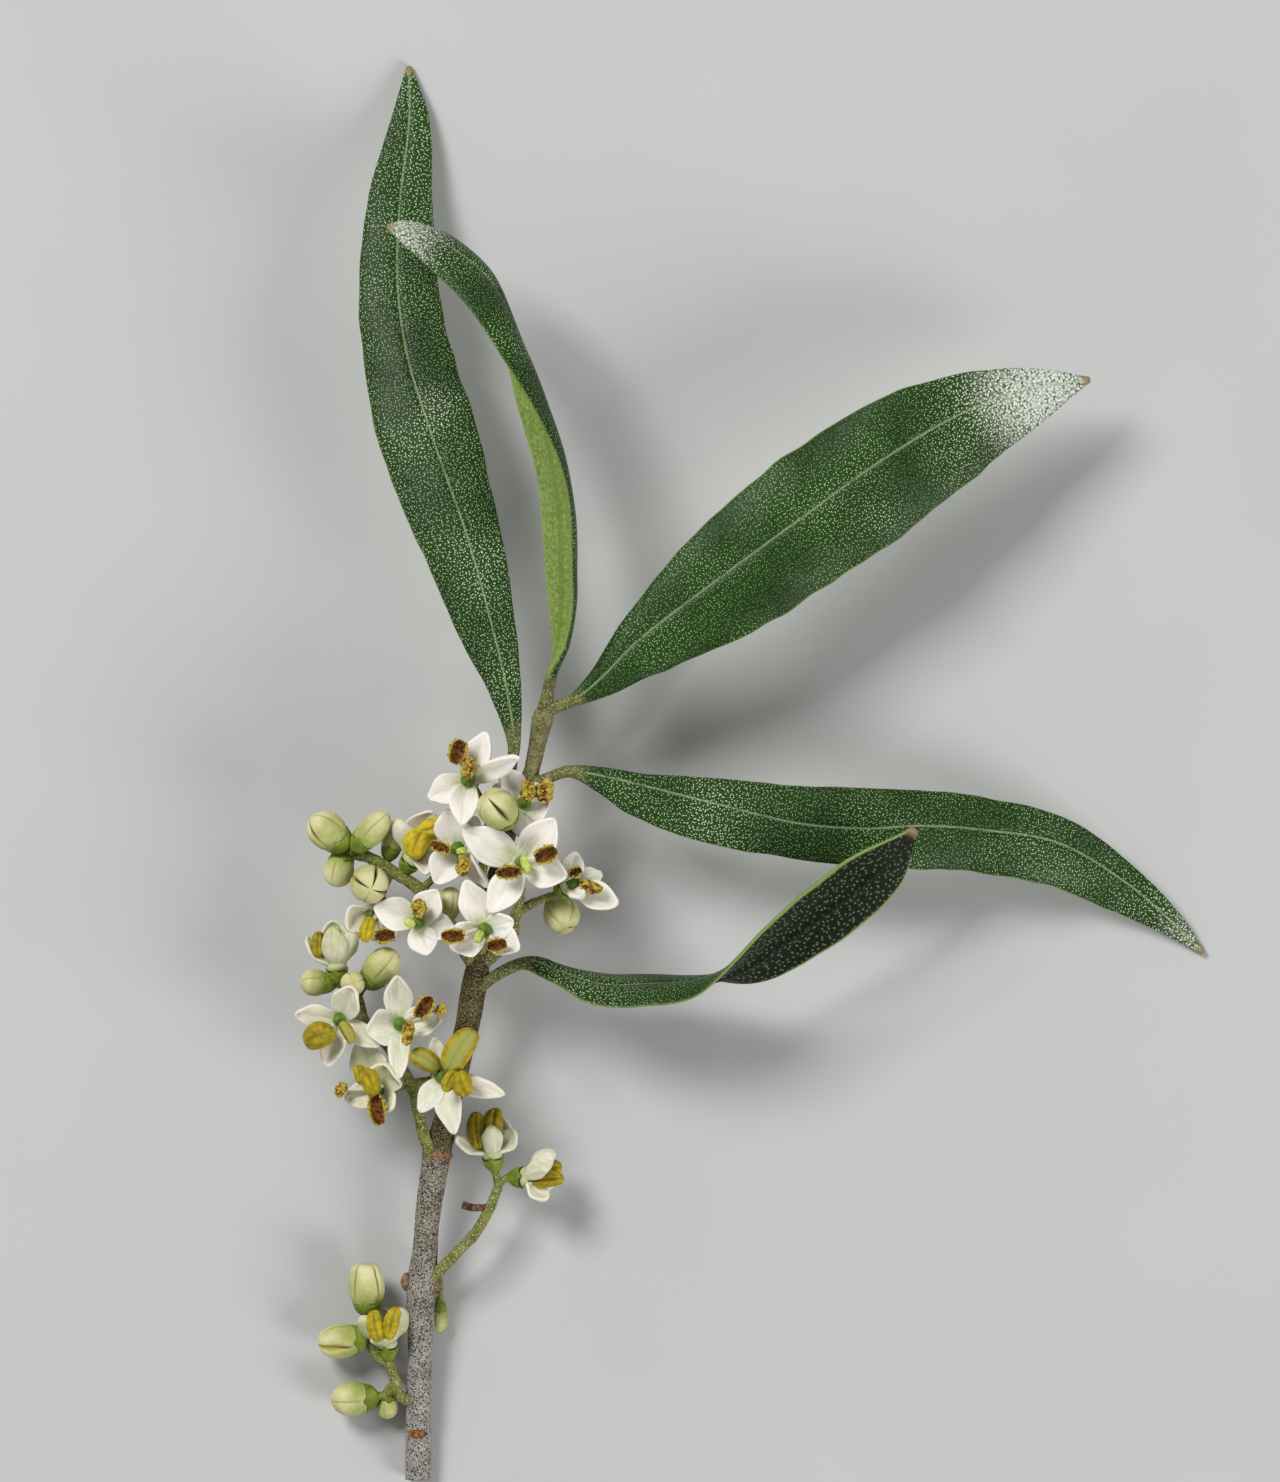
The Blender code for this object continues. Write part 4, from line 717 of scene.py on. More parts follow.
def leaf_paint(name, under_dark, under_light):
    """Deep green with white scale dots, pale midrib and margin, and an underside in its own two colours,
    which are painted shade for the leaf in shade. Where the leaf is hoary the dots grow and silver spreads:
    partly its scales, partly painted sheen and glint.
    """
    p = Paint(name, shine=0.12)
    across = p.value("across")
    along = p.value("along")
    edge = p.value("edge")
    hoar = p.value("hoar")
    flat = p.join(across, along)
    off_rib = p.math("ABSOLUTE", across)
    patch = p.grain(5.0)
    cell = p.grain(0.35, 2.0)
    upper = p.shade(patch, (0.006, 0.03, 0.0018), (0.0135, 0.056, 0.0038))
    upper = p.mix(p.fit(cell, 0.4, 0.7, 0.0, 0.45), upper, (0.034, 0.082, 0.01))
    radius = p.plus(p.span(hoar, 0.1, 0.42), p.fit(patch, 0.35, 0.65, -0.04, 0.04))
    dots = p.specks(0.255, radius, 0.05, flat)
    small = p.specks(0.16, p.span(hoar, 0.01, 0.36), 0.11, flat, 0.9)
    dots = p.math("MAXIMUM", dots, p.times(small, 0.6))
    upper = p.mix(dots, upper, p.mix(hoar, (0.62, 0.69, 0.47), (0.76, 0.78, 0.7)))
    # Silvery white over the hoary parts, mostly at the tips: partly merged scales, partly a painted glint.
    hoar_and_glint = p.times(p.fit(hoar, 0.3, 1.0), p.fit(p.grain(0.28, 2.0), 0.42, 0.56, 0.1, 1.0))
    upper = p.mix(p.times(hoar_and_glint, 0.8), upper, (0.58, 0.6, 0.52))
    rib = p.times(p.fit(off_rib, 0.12, 0.03, 0.0, 0.62), p.fit(p.grain(1.2), 0.3, 0.5, 0.4, 1.0))
    upper = p.mix(rib, upper, (0.3, 0.38, 0.2))
    upper = p.mix(p.fit(edge, 0.96, 1.0, 0.0, 0.7), upper, (0.2, 0.27, 0.06))
    lower = p.shade(p.grain(0.3), under_dark, under_light)
    lower = p.mix(p.times(p.specks(0.45, 0.16, 0.1, flat), 0.35), lower, (0.5, 0.56, 0.4))
    lower = p.mix(p.fit(off_rib, 0.42, 0.2, 0.0, 0.7), lower, under_dark)
    lower = p.mix(p.fit(edge, 0.9, 0.97, 0.0, 0.8), lower, (0.3, 0.4, 0.1))
    colour = p.mix(p.fit(p.value("side"), -0.2, 0.2), lower, upper)
    khaki = p.shade(p.grain(0.7), (0.075, 0.082, 0.02), (0.15, 0.15, 0.042))
    khaki = p.mix(p.times(p.specks(0.17, 0.32, 0.12), 0.8), khaki, (0.44, 0.45, 0.26))
    colour = p.mix(p.value("petiole"), colour, khaki)
    colour = p.mix(p.value("tip"), colour, (0.3, 0.22, 0.1))
    veins = p.plus(p.plus(along, p.times(off_rib, -1.1)), p.span(p.grain(3.0), -1.6, 1.6))
    veins = p.math("SINE", p.times(veins, 2.6))
    height = p.plus(p.plus(p.times(dots, 0.5), p.times(cell, 0.8)), p.times(veins, 0.22))
    return p.finish(colour, p.bump(height, 0.05, 0.8), p.span(dots, 0.45, 0.75))


def bark_paint():
    """Grey stippled bark low on the stem, browner and grainy green-gold bark above."""
    p = Paint("bark", 0.8, 0.12)
    young = p.value("young")
    upward = p.fit(young, 0.0, 0.5)
    streak = p.grain(1.4, 5.0)
    grey = p.shade(streak, (0.23, 0.205, 0.18), (0.44, 0.415, 0.375))
    old = p.shade(streak, (0.145, 0.122, 0.085), (0.29, 0.255, 0.19))
    new = p.shade(streak, (0.062, 0.045, 0.016), (0.15, 0.115, 0.048))
    top = p.shade(streak, (0.14, 0.132, 0.046), (0.26, 0.245, 0.11))
    bark = p.mix(upward, p.mix(p.value("low"), old, grey), new)
    bark = p.mix(p.fit(young, 0.5, 1.0), bark, top)
    fine = p.fit(p.grain(0.12, 2.0), 0.38, 0.62)
    bark = p.mix(p.times(fine, p.fit(young, 0.5, 1.0, 0.5, 0.25)), bark, (0.04, 0.03, 0.018))
    dark = p.specks(0.21, 0.33, 0.1)
    bark = p.mix(p.times(dark, p.fit(young, 0.5, 1.0, 0.9, 0.35)), bark, (0.018, 0.013, 0.008))
    pale = p.specks(0.17, 0.3, 0.12)
    fleck = p.mix(upward, (0.68, 0.65, 0.57), (0.42, 0.38, 0.22))
    bark = p.mix(p.times(pale, p.fit(young, 0.0, 0.5, 0.9, 0.65)), bark, fleck)
    scar = p.shade(p.grain(0.3), (0.1, 0.032, 0.012), (0.34, 0.16, 0.06), 0.4, 0.6)
    bark = p.mix(p.value("scar"), bark, scar)
    height = p.plus(p.math("SUBTRACT", p.times(pale, 0.6), dark), p.times(streak, 1.2))
    return p.finish(bark, p.bump(height, 0.07))


def wood_paint():
    """The cut face: pale wood with faint rings round a small pith, browner towards the bark."""
    p = Paint("cut_wood", 0.75)
    reach = p.value("reach")
    rings = p.math("SINE", p.times(reach, 24.0))
    wood = p.shade(rings, (0.42, 0.32, 0.17), (0.56, 0.46, 0.28), -1.0, 1.0)
    wood = p.mix(p.fit(p.grain(0.12), 0.45, 0.6, 0.0, 0.5), wood, (0.3, 0.2, 0.09))
    wood = p.mix(p.fit(reach, 0.8, 0.92), wood, (0.12, 0.085, 0.05))
    return p.finish(wood, p.bump(p.grain(0.1), 0.04))


def stalk_paint():
    """Yellow-green stalks and calyx cups, finely grained, with dry brown stubs."""
    p = Paint("stalk", 0.6, 0.15, 0.1, 0.6)
    soft = p.grain(0.9)
    stalk = p.shade(soft, (0.106, 0.114, 0.018), (0.216, 0.218, 0.05))
    cup = p.shade(soft, (0.11, 0.17, 0.01), (0.24, 0.295, 0.034))
    colour = p.mix(p.value("cup"), stalk, cup)
    dots = p.specks(0.19, 0.32, 0.12)
    amount = p.span(p.value("cup"), 0.8, 0.12)
    colour = p.mix(p.times(dots, amount), colour, (0.58, 0.6, 0.36))
    brown = p.shade(p.grain(0.3), (0.06, 0.025, 0.012), (0.2, 0.11, 0.06), 0.4, 0.6)
    colour = p.mix(p.value("dry"), colour, brown)
    return p.finish(colour, p.bump(p.plus(dots, p.grain(0.25)), 0.05))


def bud_paint():
    """Waxy cream-green buds with darker seams, a darker green foot that is partly painted shade near the
    calyx, and slits painted nearly black with the shade inside them, or gold where the anthers show.
    """
    p = Paint("bud", 0.42, 0.25, 0.15, 0.8)
    soft = p.grain(1.6)
    # Darker green towards the foot: partly the bud's own green, partly painted shade near the calyx.
    base = p.shade(soft, (0.265, 0.315, 0.06), (0.43, 0.445, 0.14))
    cream = p.shade(soft, (0.5, 0.475, 0.185), (0.68, 0.645, 0.345))
    colour = p.mix(p.fit(p.value("along"), 0.1, 0.8), base, cream)
    colour = p.mix(p.fit(p.grain(0.18), 0.45, 0.7, 0.0, 0.2), colour, (0.68, 0.66, 0.38))
    colour = p.mix(p.fit(p.value("seam"), 0.25, 1.0, 0.0, 0.6), colour, (0.2, 0.23, 0.05))
    # Inside the slits: painted shade, nearly black, or the gold of the anthers.
    depth = p.mix(p.value("golden"), (0.05, 0.04, 0.01), (0.36, 0.3, 0.02))
    colour = p.mix(p.fit(p.value("slit"), 0.35, 0.8), colour, depth)
    return p.finish(colour, p.bump(p.grain(0.14), 0.02))


def petal_paint():
    """Waxy white petals, streaked and greenish towards the throat, greener and darker on young flowers and
    where painted shade stands for flowers in shade.
    """
    p = Paint("petal", 0.5, 0.25, 0.15, 0.7)
    along = p.value("along")
    edge = p.value("edge")
    streak = p.grain(0.22, 3.0, p.join(p.value("across"), p.times(along, 0.7)))
    white = p.shade(streak, (0.82, 0.77, 0.69), (0.9, 0.845, 0.795))
    # The darker green is partly the young petals' own colour and partly painted shade.
    green = p.shade(streak, (0.32, 0.365, 0.095), (0.55, 0.56, 0.25))
    base = p.fit(along, 0.5, 0.0, 0.0, 0.85)
    vein = p.times(p.fit(edge, 0.4, 0.0, 0.0, 0.35), p.fit(along, 0.95, 0.4))
    green_tinge_and_shade = p.math("MAXIMUM", p.math("MAXIMUM", base, vein), p.times(p.value("young"), 0.95))
    green_tinge_and_shade = p.times(green_tinge_and_shade, p.fit(p.grain(1.3), 0.3, 0.7, 0.7, 1.2))
    colour = p.mix(green_tinge_and_shade, white, green)
    colour = p.mix(p.fit(edge, 0.8, 1.0, 0.0, 0.5), colour, (0.9, 0.85, 0.77))
    return p.finish(colour, p.bump(p.plus(streak, p.times(p.grain(0.12), 0.4)), 0.035))


def anther_paint():
    """Golden young anthers with darker grooves, some with a pale green middle."""
    p = Paint("anther_gold", 0.5, 0.2, 0.15, 0.5)
    lumps = p.grain(0.5)
    gold = p.shade(lumps, (0.2, 0.15, 0.004), (0.38, 0.3, 0.01))
    fresh = p.shade(lumps, (0.42, 0.32, 0.008), (0.68, 0.52, 0.02))
    gold = p.mix(p.value("bright"), gold, fresh)
    gold = p.mix(p.fit(p.value("groove"), 0.2, 1.0, 0.0, 0.62), gold, (0.14, 0.095, 0.004))
    colour = p.mix(p.value("pale"), gold, (0.34, 0.34, 0.075))
    return p.finish(colour, p.bump(p.plus(p.grain(0.14), p.grain(0.4)), 0.05))


def husk_paint():
    """Spent anthers: dark brown inside, with crumbly yellow rims."""
    p = Paint("anther_husk", 0.65, 0.15)
    grain = p.grain(0.2, 4.0)
    outer = p.shade(grain, (0.11, 0.045, 0.008), (0.3, 0.17, 0.025), 0.4, 0.6)
    inner = p.shade(grain, (0.022, 0.008, 0.003), (0.19, 0.06, 0.012), 0.4, 0.6)
    colour = p.mix(p.value("hollow"), outer, inner)
    rim = p.times(p.value("rim"), p.fit(grain, 0.35, 0.55, 0.3, 1.0))
    return p.finish(p.mix(rim, colour, (0.54, 0.42, 0.06)), p.bump(grain, 0.1))


def pistil_paint():
    """Green ovary and yellow-green stigma."""
    p = Paint("pistil", 0.4, 0.25, 0.15, 0.6)
    ovary = p.shade(p.grain(0.5), (0.06, 0.13, 0.008), (0.15, 0.245, 0.028))
    stigma = p.shade(p.grain(0.3), (0.42, 0.5, 0.06), (0.6, 0.64, 0.18), 0.4, 0.6)
    return p.finish(p.mix(p.value("stigma"), ovary, stigma), p.bump(p.grain(0.16), 0.03))


def floor_paint():
    """A plain pale floor with a very faint mottle."""
    p = Paint("floor", 0.9, 0.1)
    return p.finish(p.shade(p.grain(30.0), (0.5, 0.5, 0.49), (0.52, 0.52, 0.51), 0.3, 0.7))


def tube_rings(rows, stations, columns):
    """Along a path of x, y, z, radius: its points, its radii, and the directions outwards of each ring."""
    rows = route(rows, stations)
    ways = directions(rows[:, :3])
    side = np.cross(ways[0], UP)
    if np.linalg.norm(side) < 0.2:
        side = np.cross(ways[0], (1.0, 0.0, 0.0))
    out = np.zeros((stations, columns, 3))
    for i, way in enumerate(ways):
        side = unit(side - way * np.dot(side, way))
        out[i] = spokes(circle(columns), side, np.cross(way, side))
    return rows[:, :3], rows[:, 3], out


def turned_rings(foot, way, radii, heights, columns):
    """Rings of a turned body. Radii and heights may differ from column to column."""
    side = np.cross(way, UP)
    if np.linalg.norm(side) < 0.2:
        side = np.cross(way, (0.0, 1.0, 0.0))
    side = unit(side)
    out = spokes(circle(columns), side, np.cross(way, side))
    radii = np.broadcast_to(radii, (len(radii), columns))
    heights = np.broadcast_to(heights, (len(heights), columns))
    return foot + heights[..., None] * way + radii[..., None] * out[None]


def end_to_end(stations, margin=0.03):
    """Angles of the rings of a ball, from near one end to near the other."""
    return np.linspace(margin, math.pi - margin, stations)


def ball_rings(centre, axes, stations=BALL_STATIONS, columns=BALL_COLUMNS, blunt=1.0):
    """Rings of a ball stretched along three half axes, the first one from end to end."""
    first, second, third = axes
    angle = end_to_end(stations)
    spread = np.sin(angle) ** blunt
    across = spokes(circle(columns), second, third)
    return centre - np.outer(np.cos(angle), first)[:, None] + spread[:, None, None] * across[None]


def strip_rings(points, side, normal, left, right, bend_left, bend_right, u):
    """Middle of a bent strip at each station and column, the way out of its face, the distance across."""
    reach = np.where(u > 0, right[:, None], left[:, None])
    bend = np.radians(np.where(u > 0, bend_right[:, None], bend_left[:, None]))
    bend = np.maximum(bend, 0.01)
    lean = np.abs(u) * bend
    aside = np.sign(u) * np.sin(lean)
    across = aside * reach / bend
    drop = (1.0 - np.cos(lean)) * reach / bend
    middle = points[:, None] + side[:, None] * across[..., None] - normal[:, None] * drop[..., None]
    out = unit(normal[:, None] * np.cos(lean)[..., None] + side[:, None] * aside[..., None])
    return middle, out, u * reach


def loop_order(columns):
    """Numbers of the columns over the upper face and back under the lower one."""
    return list(range(columns)) + list(range(columns - 2, 0, -1))


def both_faces(upper, lower):
    """The upper columns and then the lower ones back, without the two edges twice."""
    return np.concatenate([upper, lower[:, -2:0:-1]], axis=1)


def rooted(name, rows, radius_columns):
    """The rows with one more in front, wider and inside the stem."""
    first = list(rows[0])
    first[:3] = ROOTS[name]
    for k in radius_columns:
        first[k] *= ROOT_FLARE
    return [tuple(first)] + list(rows)


def leaf_body(name, rows, seed):
    """A blade on its short stalk, grooved over the midrib and ridged under it, with waves and dents."""
    rows = route(rooted(name, rows, (3, 4, 8)), LEAF_STATIONS)
    points = rows[:, :3]
    left, right, roll, bend_left, bend_right, thick = rows[:, 3:].T
    steps = np.linalg.norm(np.diff(points, axis=0), axis=1)
    along = np.concatenate([[0.0], np.cumsum(steps)])
    to_tip = along[-1] - along
    width = (left + right) / 2
    blade = smooth(width, 0.6, 1.8)
    length, share = LEAF_WAVER
    left = left * (1 + share * blade * ripple(along, length, seed, 0.0))
    right = right * (1 + share * blade * ripple(along, length, seed, 5.0))
    ways = directions(points)
    flat_side = unit(np.cross(ways, UP))
    side, normal = turned(flat_side, np.cross(flat_side, ways), roll)
    u = np.array(LEAF_COLUMNS)
    middle, out, across = strip_rings(points, side, normal, left, right, bend_left, bend_right, u)
    free = blade * smooth(to_tip, 1.0, 12.0)
    length, height = LEAF_WAVE
    wave = np.zeros(across.shape)
    for k, chosen in ((0.0, u < 0), (9.0, u > 0)):
        line = ripple(along, length, seed * 3.1, k) * free
        wave[:, chosen] = line[:, None] * smooth(np.abs(u[chosen]), 0.25, 1.0)
    middle = middle + out * (wave * height)[..., None]
    size, height = LEAF_DENT
    middle = middle + out * (height * free[:, None] * rough(middle, size, seed))[..., None]
    power = 2.0 + 4.0 * np.clip(width / thick - 0.5, 0.0, 1.0)[:, None]
    half = 0.5 * (thick * (1 - 0.2 * blade))[:, None] * np.sqrt(np.maximum(0.0, 1 - np.abs(u) ** power))
    rib = (blade * smooth(to_tip, 0.5, 6.0))[:, None]
    groove = LEAF_GROOVE[0] * rib * bump_at(across, 0.0, LEAF_GROOVE[1])
    ridge = LEAF_RIDGE[0] * rib * bump_at(across, 0.0, LEAF_RIDGE[1])
    upper = middle + out * (half - groove)[..., None]
    lower = middle - out * (half + ridge)[..., None]
    # Whitening at the tip and in the listed spots: partly hoary scales, partly painted sheen and glint.
    tip_glint_and_hoar, leaf_hoar = LEAF_HOAR_AND_GLINT[name]
    hoar = np.maximum(tip_glint_and_hoar * smooth(to_tip, 9.0, 1.0), leaf_hoar)[:, None] * np.ones(len(u))
    for x, y, size, amount in SHEEN_AND_HOAR_SPOTS.get(name, ()):
        spot = np.hypot(upper[..., 0] - x, upper[..., 1] - y)
        hoar = np.maximum(hoar, amount * bump_at(spot, 0.0, size))
    order = loop_order(len(u))
    side = np.where(np.arange(len(order)) < len(u), 1.0, -1.0)
    petiole = (1 - smooth(width, 0.55, 0.9)) * (to_tip > 8)
    tip = smooth(to_tip, 0.9, 0.2)
    body = Body()
    body.skin(both_faces(upper, lower), across=across[:, order], along=along[:, None],
              edge=np.abs(u)[order][None], side=side[None], hoar=hoar[:, order],
              petiole=petiole[:, None], tip=tip[:, None])
    return body


def petal_skin(body, foot, way, tip, half_width, twist, bow_up, bow_out, young, seed):
    """A thick boat-shaped petal with a hooked tip."""
    reach = tip - foot
    out = unit(reach - way * np.dot(reach, way))
    start = foot + way * 0.4 + out * 0.25
    bend = (start + tip) / 2 + way * bow_up + out * bow_out
    side = unit(np.cross(way, out))
    t = np.sin(np.linspace(0.0, math.pi / 2, PETAL_STATIONS))
    back = (1 - t)[:, None]
    ahead = t[:, None]
    points = start * back ** 2 + bend * (2 * ahead * back) + tip * ahead ** 2
    ways = unit((bend - start) * back + (tip - bend) * ahead)
    inner = unit(np.cross(side[None], ways))
    if np.mean(inner @ way) - np.mean(inner @ out) < 0:
        inner = -inner
    if way[2] < SIDEWAYS:
        facing = inner[PETAL_STATIONS // 2][2]
        level = math.degrees(math.atan2(-side[2] * math.copysign(1.0, facing), abs(facing)))
        twist = twist + PETAL_TURN * max(-PETAL_TURN_MOST, min(PETAL_TURN_MOST, level))
    across_way, up = turned(side[None], inner, twist * np.minimum(1.0, t * 2.5))
    rising = 0.44 + 0.64 * np.sin(np.clip(t / 0.5, 0, 1) * math.pi / 2)
    falling = np.maximum(0.0, 1 - (np.clip(t - 0.48, 0, 1) / 0.52) ** 1.9) ** 0.84
    wide = np.maximum(PETAL_FULLNESS * half_width * rising * falling, 0.02)
    wide = wide * (1 + 0.05 * ripple(t, 0.25, seed, 2.0))
    points = points + up * (PETAL_HOOK * smooth(t, 0.8, 1.0) ** 2)[:, None]
    u = np.array(PETAL_COLUMNS)
    at_foot, to_tip, sway = PETAL_CURL
    curl = at_foot + to_tip * smooth(t, 0.35, 1.0) + sway * np.sin(seed * 7.0 + 3 * t)
    middle, face, across = strip_rings(points, across_way, -up, wide, wide, curl, curl, u)
    size, height = PETAL_RIPPLE
    ripples = height * rough(middle, size, seed) * (0.4 + 0.6 * np.abs(u))[None]
    middle = middle + face * (ripples * smooth(t, 0.0, 0.3)[:, None])[..., None]
    half = 0.5 * PETAL_THICKNESS * np.sqrt(np.maximum(0.0, 1 - np.abs(u) ** 4))[None]
    half = half * np.minimum(1, wide / 0.25)[:, None]
    keel = PETAL_KEEL * bump_at(u, 0.0, 0.16)[None] * smooth(t, 1.0, 0.5)[:, None]
    upper = middle + face * (half + keel)[..., None]
    lower = middle - face * (half - keel)[..., None]
    order = loop_order(len(u))
    body.skin(both_faces(upper, lower), along=t[:, None], across=across[:, order] + seed * 3.0,
              edge=np.abs(u)[order][None], young=young)


def young_anther(body, centre, axes, pale, bright, seed):
    """A plump anther of two lobes, with a groove along the top and a fine seam on each lobe."""
    grid = ball_rings(centre, axes, ANTHER_STATIONS, ANTHER_COLUMNS, 0.75)
    angle = end_to_end(ANTHER_STATIONS)
    off = degrees_off(np.degrees(circle(ANTHER_COLUMNS)), 90)
    groove = bump_at(off, 0.0, 11.0)
    seam = bump_at(off, 52.0, 5.0)
    depth = 1 - 0.3 * groove - 0.06 * seam
    line = (centre - np.outer(np.cos(angle), axes[0]))[:, None]
    grid = line + (grid - line) * depth[None, :, None]
    bend = 0.16 * (1 - np.cos(angle) ** 2)[:, None, None] * axes[1]
    grid = grid + bend + swell(grid, centre, 0.045 * rough(grid, 0.6, seed))
    dark = np.maximum(groove, 0.45 * seam)[None] * np.sin(angle)[:, None]
    middle = smooth(off, 44.0, 30.0)[None] * smooth(np.sin(angle), 0.2, 0.6)[:, None]
    body.skin(grid, groove=dark * (1 - 0.7 * pale), pale=pale * middle, bright=bright)


def husk(body, centre, axes, seed, random):
    """A spent anther: an open boat with crumbly rims."""
    long_way, wide_way, high_way = axes
    angle = end_to_end(HUSK_STATIONS, 0.05)
    spread = (np.sin(angle) ** 0.6)[:, None, None]
    turn = np.linspace(0, math.pi, HUSK_COLUMNS)
    outer = np.stack([np.cos(turn), -np.sin(turn)], 1)
    inner = np.stack([0.84 * np.cos(turn[::-1]), -0.66 * np.sin(turn[::-1]) + 0.14], 1)
    ring = np.concatenate([outer, inner])
    section = ring[:, 0, None] * wide_way + ring[:, 1, None] * high_way * 1.3
    line = (centre - np.outer(np.cos(angle), long_way))[:, None]
    grid = line + spread * section + high_way * 0.45
    grid = grid + swell(grid, centre, 0.16 * rough(grid, 0.45, seed))
    hollow = np.concatenate([np.zeros(HUSK_COLUMNS), np.sin(turn)])
    sides = np.abs(np.cos(turn))
    rim = np.concatenate([smooth(sides, 0.75, 1.0), smooth(sides, 0.8, 1.0)])
    ends = smooth(np.sin(angle), 0.5, 0.2)[:, None]
    body.skin(grid, kind=1, hollow=hollow[None], rim=np.maximum(rim[None], ends))
    for sign in (-1, 1):
        for s in random.uniform(-0.95, 0.95, HUSK_GRAINS):
            spot = centre + long_way * s + (wide_way * sign * math.sqrt(1 - s * s)) + high_way * 0.55
            spot = spot + random.normal(0.0, 0.05, 3)
            crumb(body, spot, random.uniform(0.06, 0.13), random)


def crumb(body, centre, size, random):
    """A grain of pollen."""
    axes = np.eye(3) * size * random.uniform(0.8, 1.3, 3)
    body.skin(ball_rings(centre, axes, 5, 7), kind=1, rim=1.0, hollow=0.0)


def crumbly(body, centre, axes, seed, random):
    """A burst anther: a lumpy brown core under a crust of pollen grains."""
    grid = ball_rings(centre, axes, 16, 22, 0.8)
    lumps = rough(grid, 0.4, seed)
    grid = grid + swell(grid, centre, 0.38 * lumps)
    body.skin(grid, kind=1, hollow=smooth(-lumps, 0.0, 0.35), rim=smooth(lumps, -0.05, 0.25))
    for _ in range(CRUST_GRAINS):
        x, y, z = unit(random.normal(0.0, 1.0, 3))
        way = x * axes[0] + y * axes[1] + abs(z) * axes[2]
        spot = centre + way * random.uniform(0.8, 1.02)
        crumb(body, spot, random.uniform(0.07, 0.15), random)


def petals_body(name, number, foot, way, bow_up, bow_out, petals):
    """The throat of a flower and its petals."""
    # One value gives young petals their green and flowers in shade their painted shade.
    young = YOUNG_AND_SHADE.get(name, 0.0)
    radii, heights = np.array(THROAT).T[..., None]
    body = Body()
    throat = turned_rings(foot, way, radii, heights, THROAT_COLUMNS)
    body.skin(throat, along=0.0, young=young, edge=0.0)
    for k, (x, y, z, half_width) in enumerate(petals):
        twist = PETAL_TWISTS.get((name, k), 0.0)
        petal_skin(body, foot, way, np.array((x, y, z)), half_width, twist, bow_up, bow_out, young,
                   number + 0.25 * k)
    return body


def filament(body, foot, way, top, toward):
    """A thin stalk from the throat up to an anther."""
    base = foot + way * 0.5 + unit(toward - way * np.dot(toward, way)) * 0.45
    middle = (base + top) / 2 + way * 0.25
    rows = [(*spot, radius) for spot, radius in zip((base, middle, top), FILAMENT)]
    points, radii, out = tube_rings(rows, 12, 12)
    body.skin(points[:, None] + out * radii[:, None, None], kind=2, along=0.5, young=0.4)


def anthers_body(name, number, foot, way, anthers):
    """The anthers of a flower, each on its filament. A stigma listed with them is built from STIGMAS."""
    bright = BRIGHT.get(name, BRIGHT_USUAL)
    random = np.random.default_rng(100 + number)
    body = Body()
    for k, (x, y, z, angle, length, width, kind) in enumerate(anthers + EXTRA_ANTHERS.get(name, [])):
        if kind == "stigma":
            continue
        centre = np.array((x, y, z))
        top = centre - UP * width * (0.3 if kind == "old" else 0.15)
        filament(body, foot, way, top, centre - foot)
        long_way, wide_way = level_ways(angle)
        axes = (long_way * length / 2, wide_way * width / 2, UP * width * 0.42)
        seed = number + 0.3 * k
        if kind in ("young", "pale"):
            young_anther(body, centre, axes, 1.0 if kind == "pale" else 0.0, bright, seed)
        elif kind == "old":
            husk(body, centre, axes, seed, random)
        elif kind == "crumbly":
            crumbly(body, centre, axes, seed, random)
    return body


def pistil_body(name, foot, way):
    """The ovary of a flower and the stigmas that show on it."""
    side = unit(np.cross(way, (0.31, 0.95, 0.05)))
    high, wide = OVARY
    body = Body()
    axes = (way * high, side * wide, np.cross(way, side) * wide)
    body.skin(ball_rings(foot + way * 0.85, axes), stigma=0.0)
    for x, y, angle, length, width in STIGMAS.get(name, ()):
        long_way, wide_way = level_ways(angle)
        centre = np.array((x, y, foot[2] + STIGMA_HEIGHT))
        axes = (long_way * length / 2, wide_way * width / 2, UP * width * 0.45)
        cleft = 1 - 0.25 * bump_at(np.degrees(circle(BALL_COLUMNS)), 90, 20)
        grid = centre + (ball_rings(centre, axes, blunt=0.8) - centre) * cleft[None, :, None]
        body.skin(grid, stigma=1.0)
    return body


def bud_body(name, foot, way, length, radius):
    """A bud of four petals that meet along seams, with slits where it begins to open."""
    phase, slits, opening, golden = BUD_LOOKS.get(name, BUD_USUAL)
    t = np.sin(np.linspace(0.0, math.pi / 2, BUD_STATIONS))
    heights, shares = zip(*BUD)
    wide = np.interp(t, heights, shares)
    wide = np.convolve(np.pad(wide, 2, mode="edge"), np.ones(5) / 5, "valid")
    wide = wide + opening * 0.3 * smooth(t, 0.7, 1.0)
    angles = np.degrees(circle(BUD_COLUMNS))
    seam = np.zeros((len(t), BUD_COLUMNS))
    slit = np.zeros((len(t), BUD_COLUMNS))
    for k in range(4):
        off = degrees_off(angles - phase, 90 * k)[None]
        seam = np.maximum(seam, bump_at(off, 0.0, 5.5) * smooth(t, 0.05, 0.25)[:, None])
        if k in slits:
            gape = slits[k] * smooth(t, 0.15, 0.75)[:, None] + 1.0
            slit = np.maximum(slit, bump_at(off, 0.0, gape) * smooth(t, 0.12, 0.3)[:, None])
    lobes = 0.025 * np.cos(np.radians(4 * (angles - phase) + 180))[None] * smooth(t, 0.2, 0.7)[:, None]
    share = wide[:, None] * (1 + lobes - 0.055 * seam - 0.3 * slit)
    heights = (0.08 + (length - 0.08) * t)[:, None]
    rings = turned_rings(foot, way, share * radius, heights, BUD_COLUMNS)
    rings = rings + swell(rings, foot, 0.01 * rough(rings, 0.9, radius))
    body = Body()
    body.skin(rings, along=t[:, None], seam=seam, slit=slit, golden=golden)
    return body


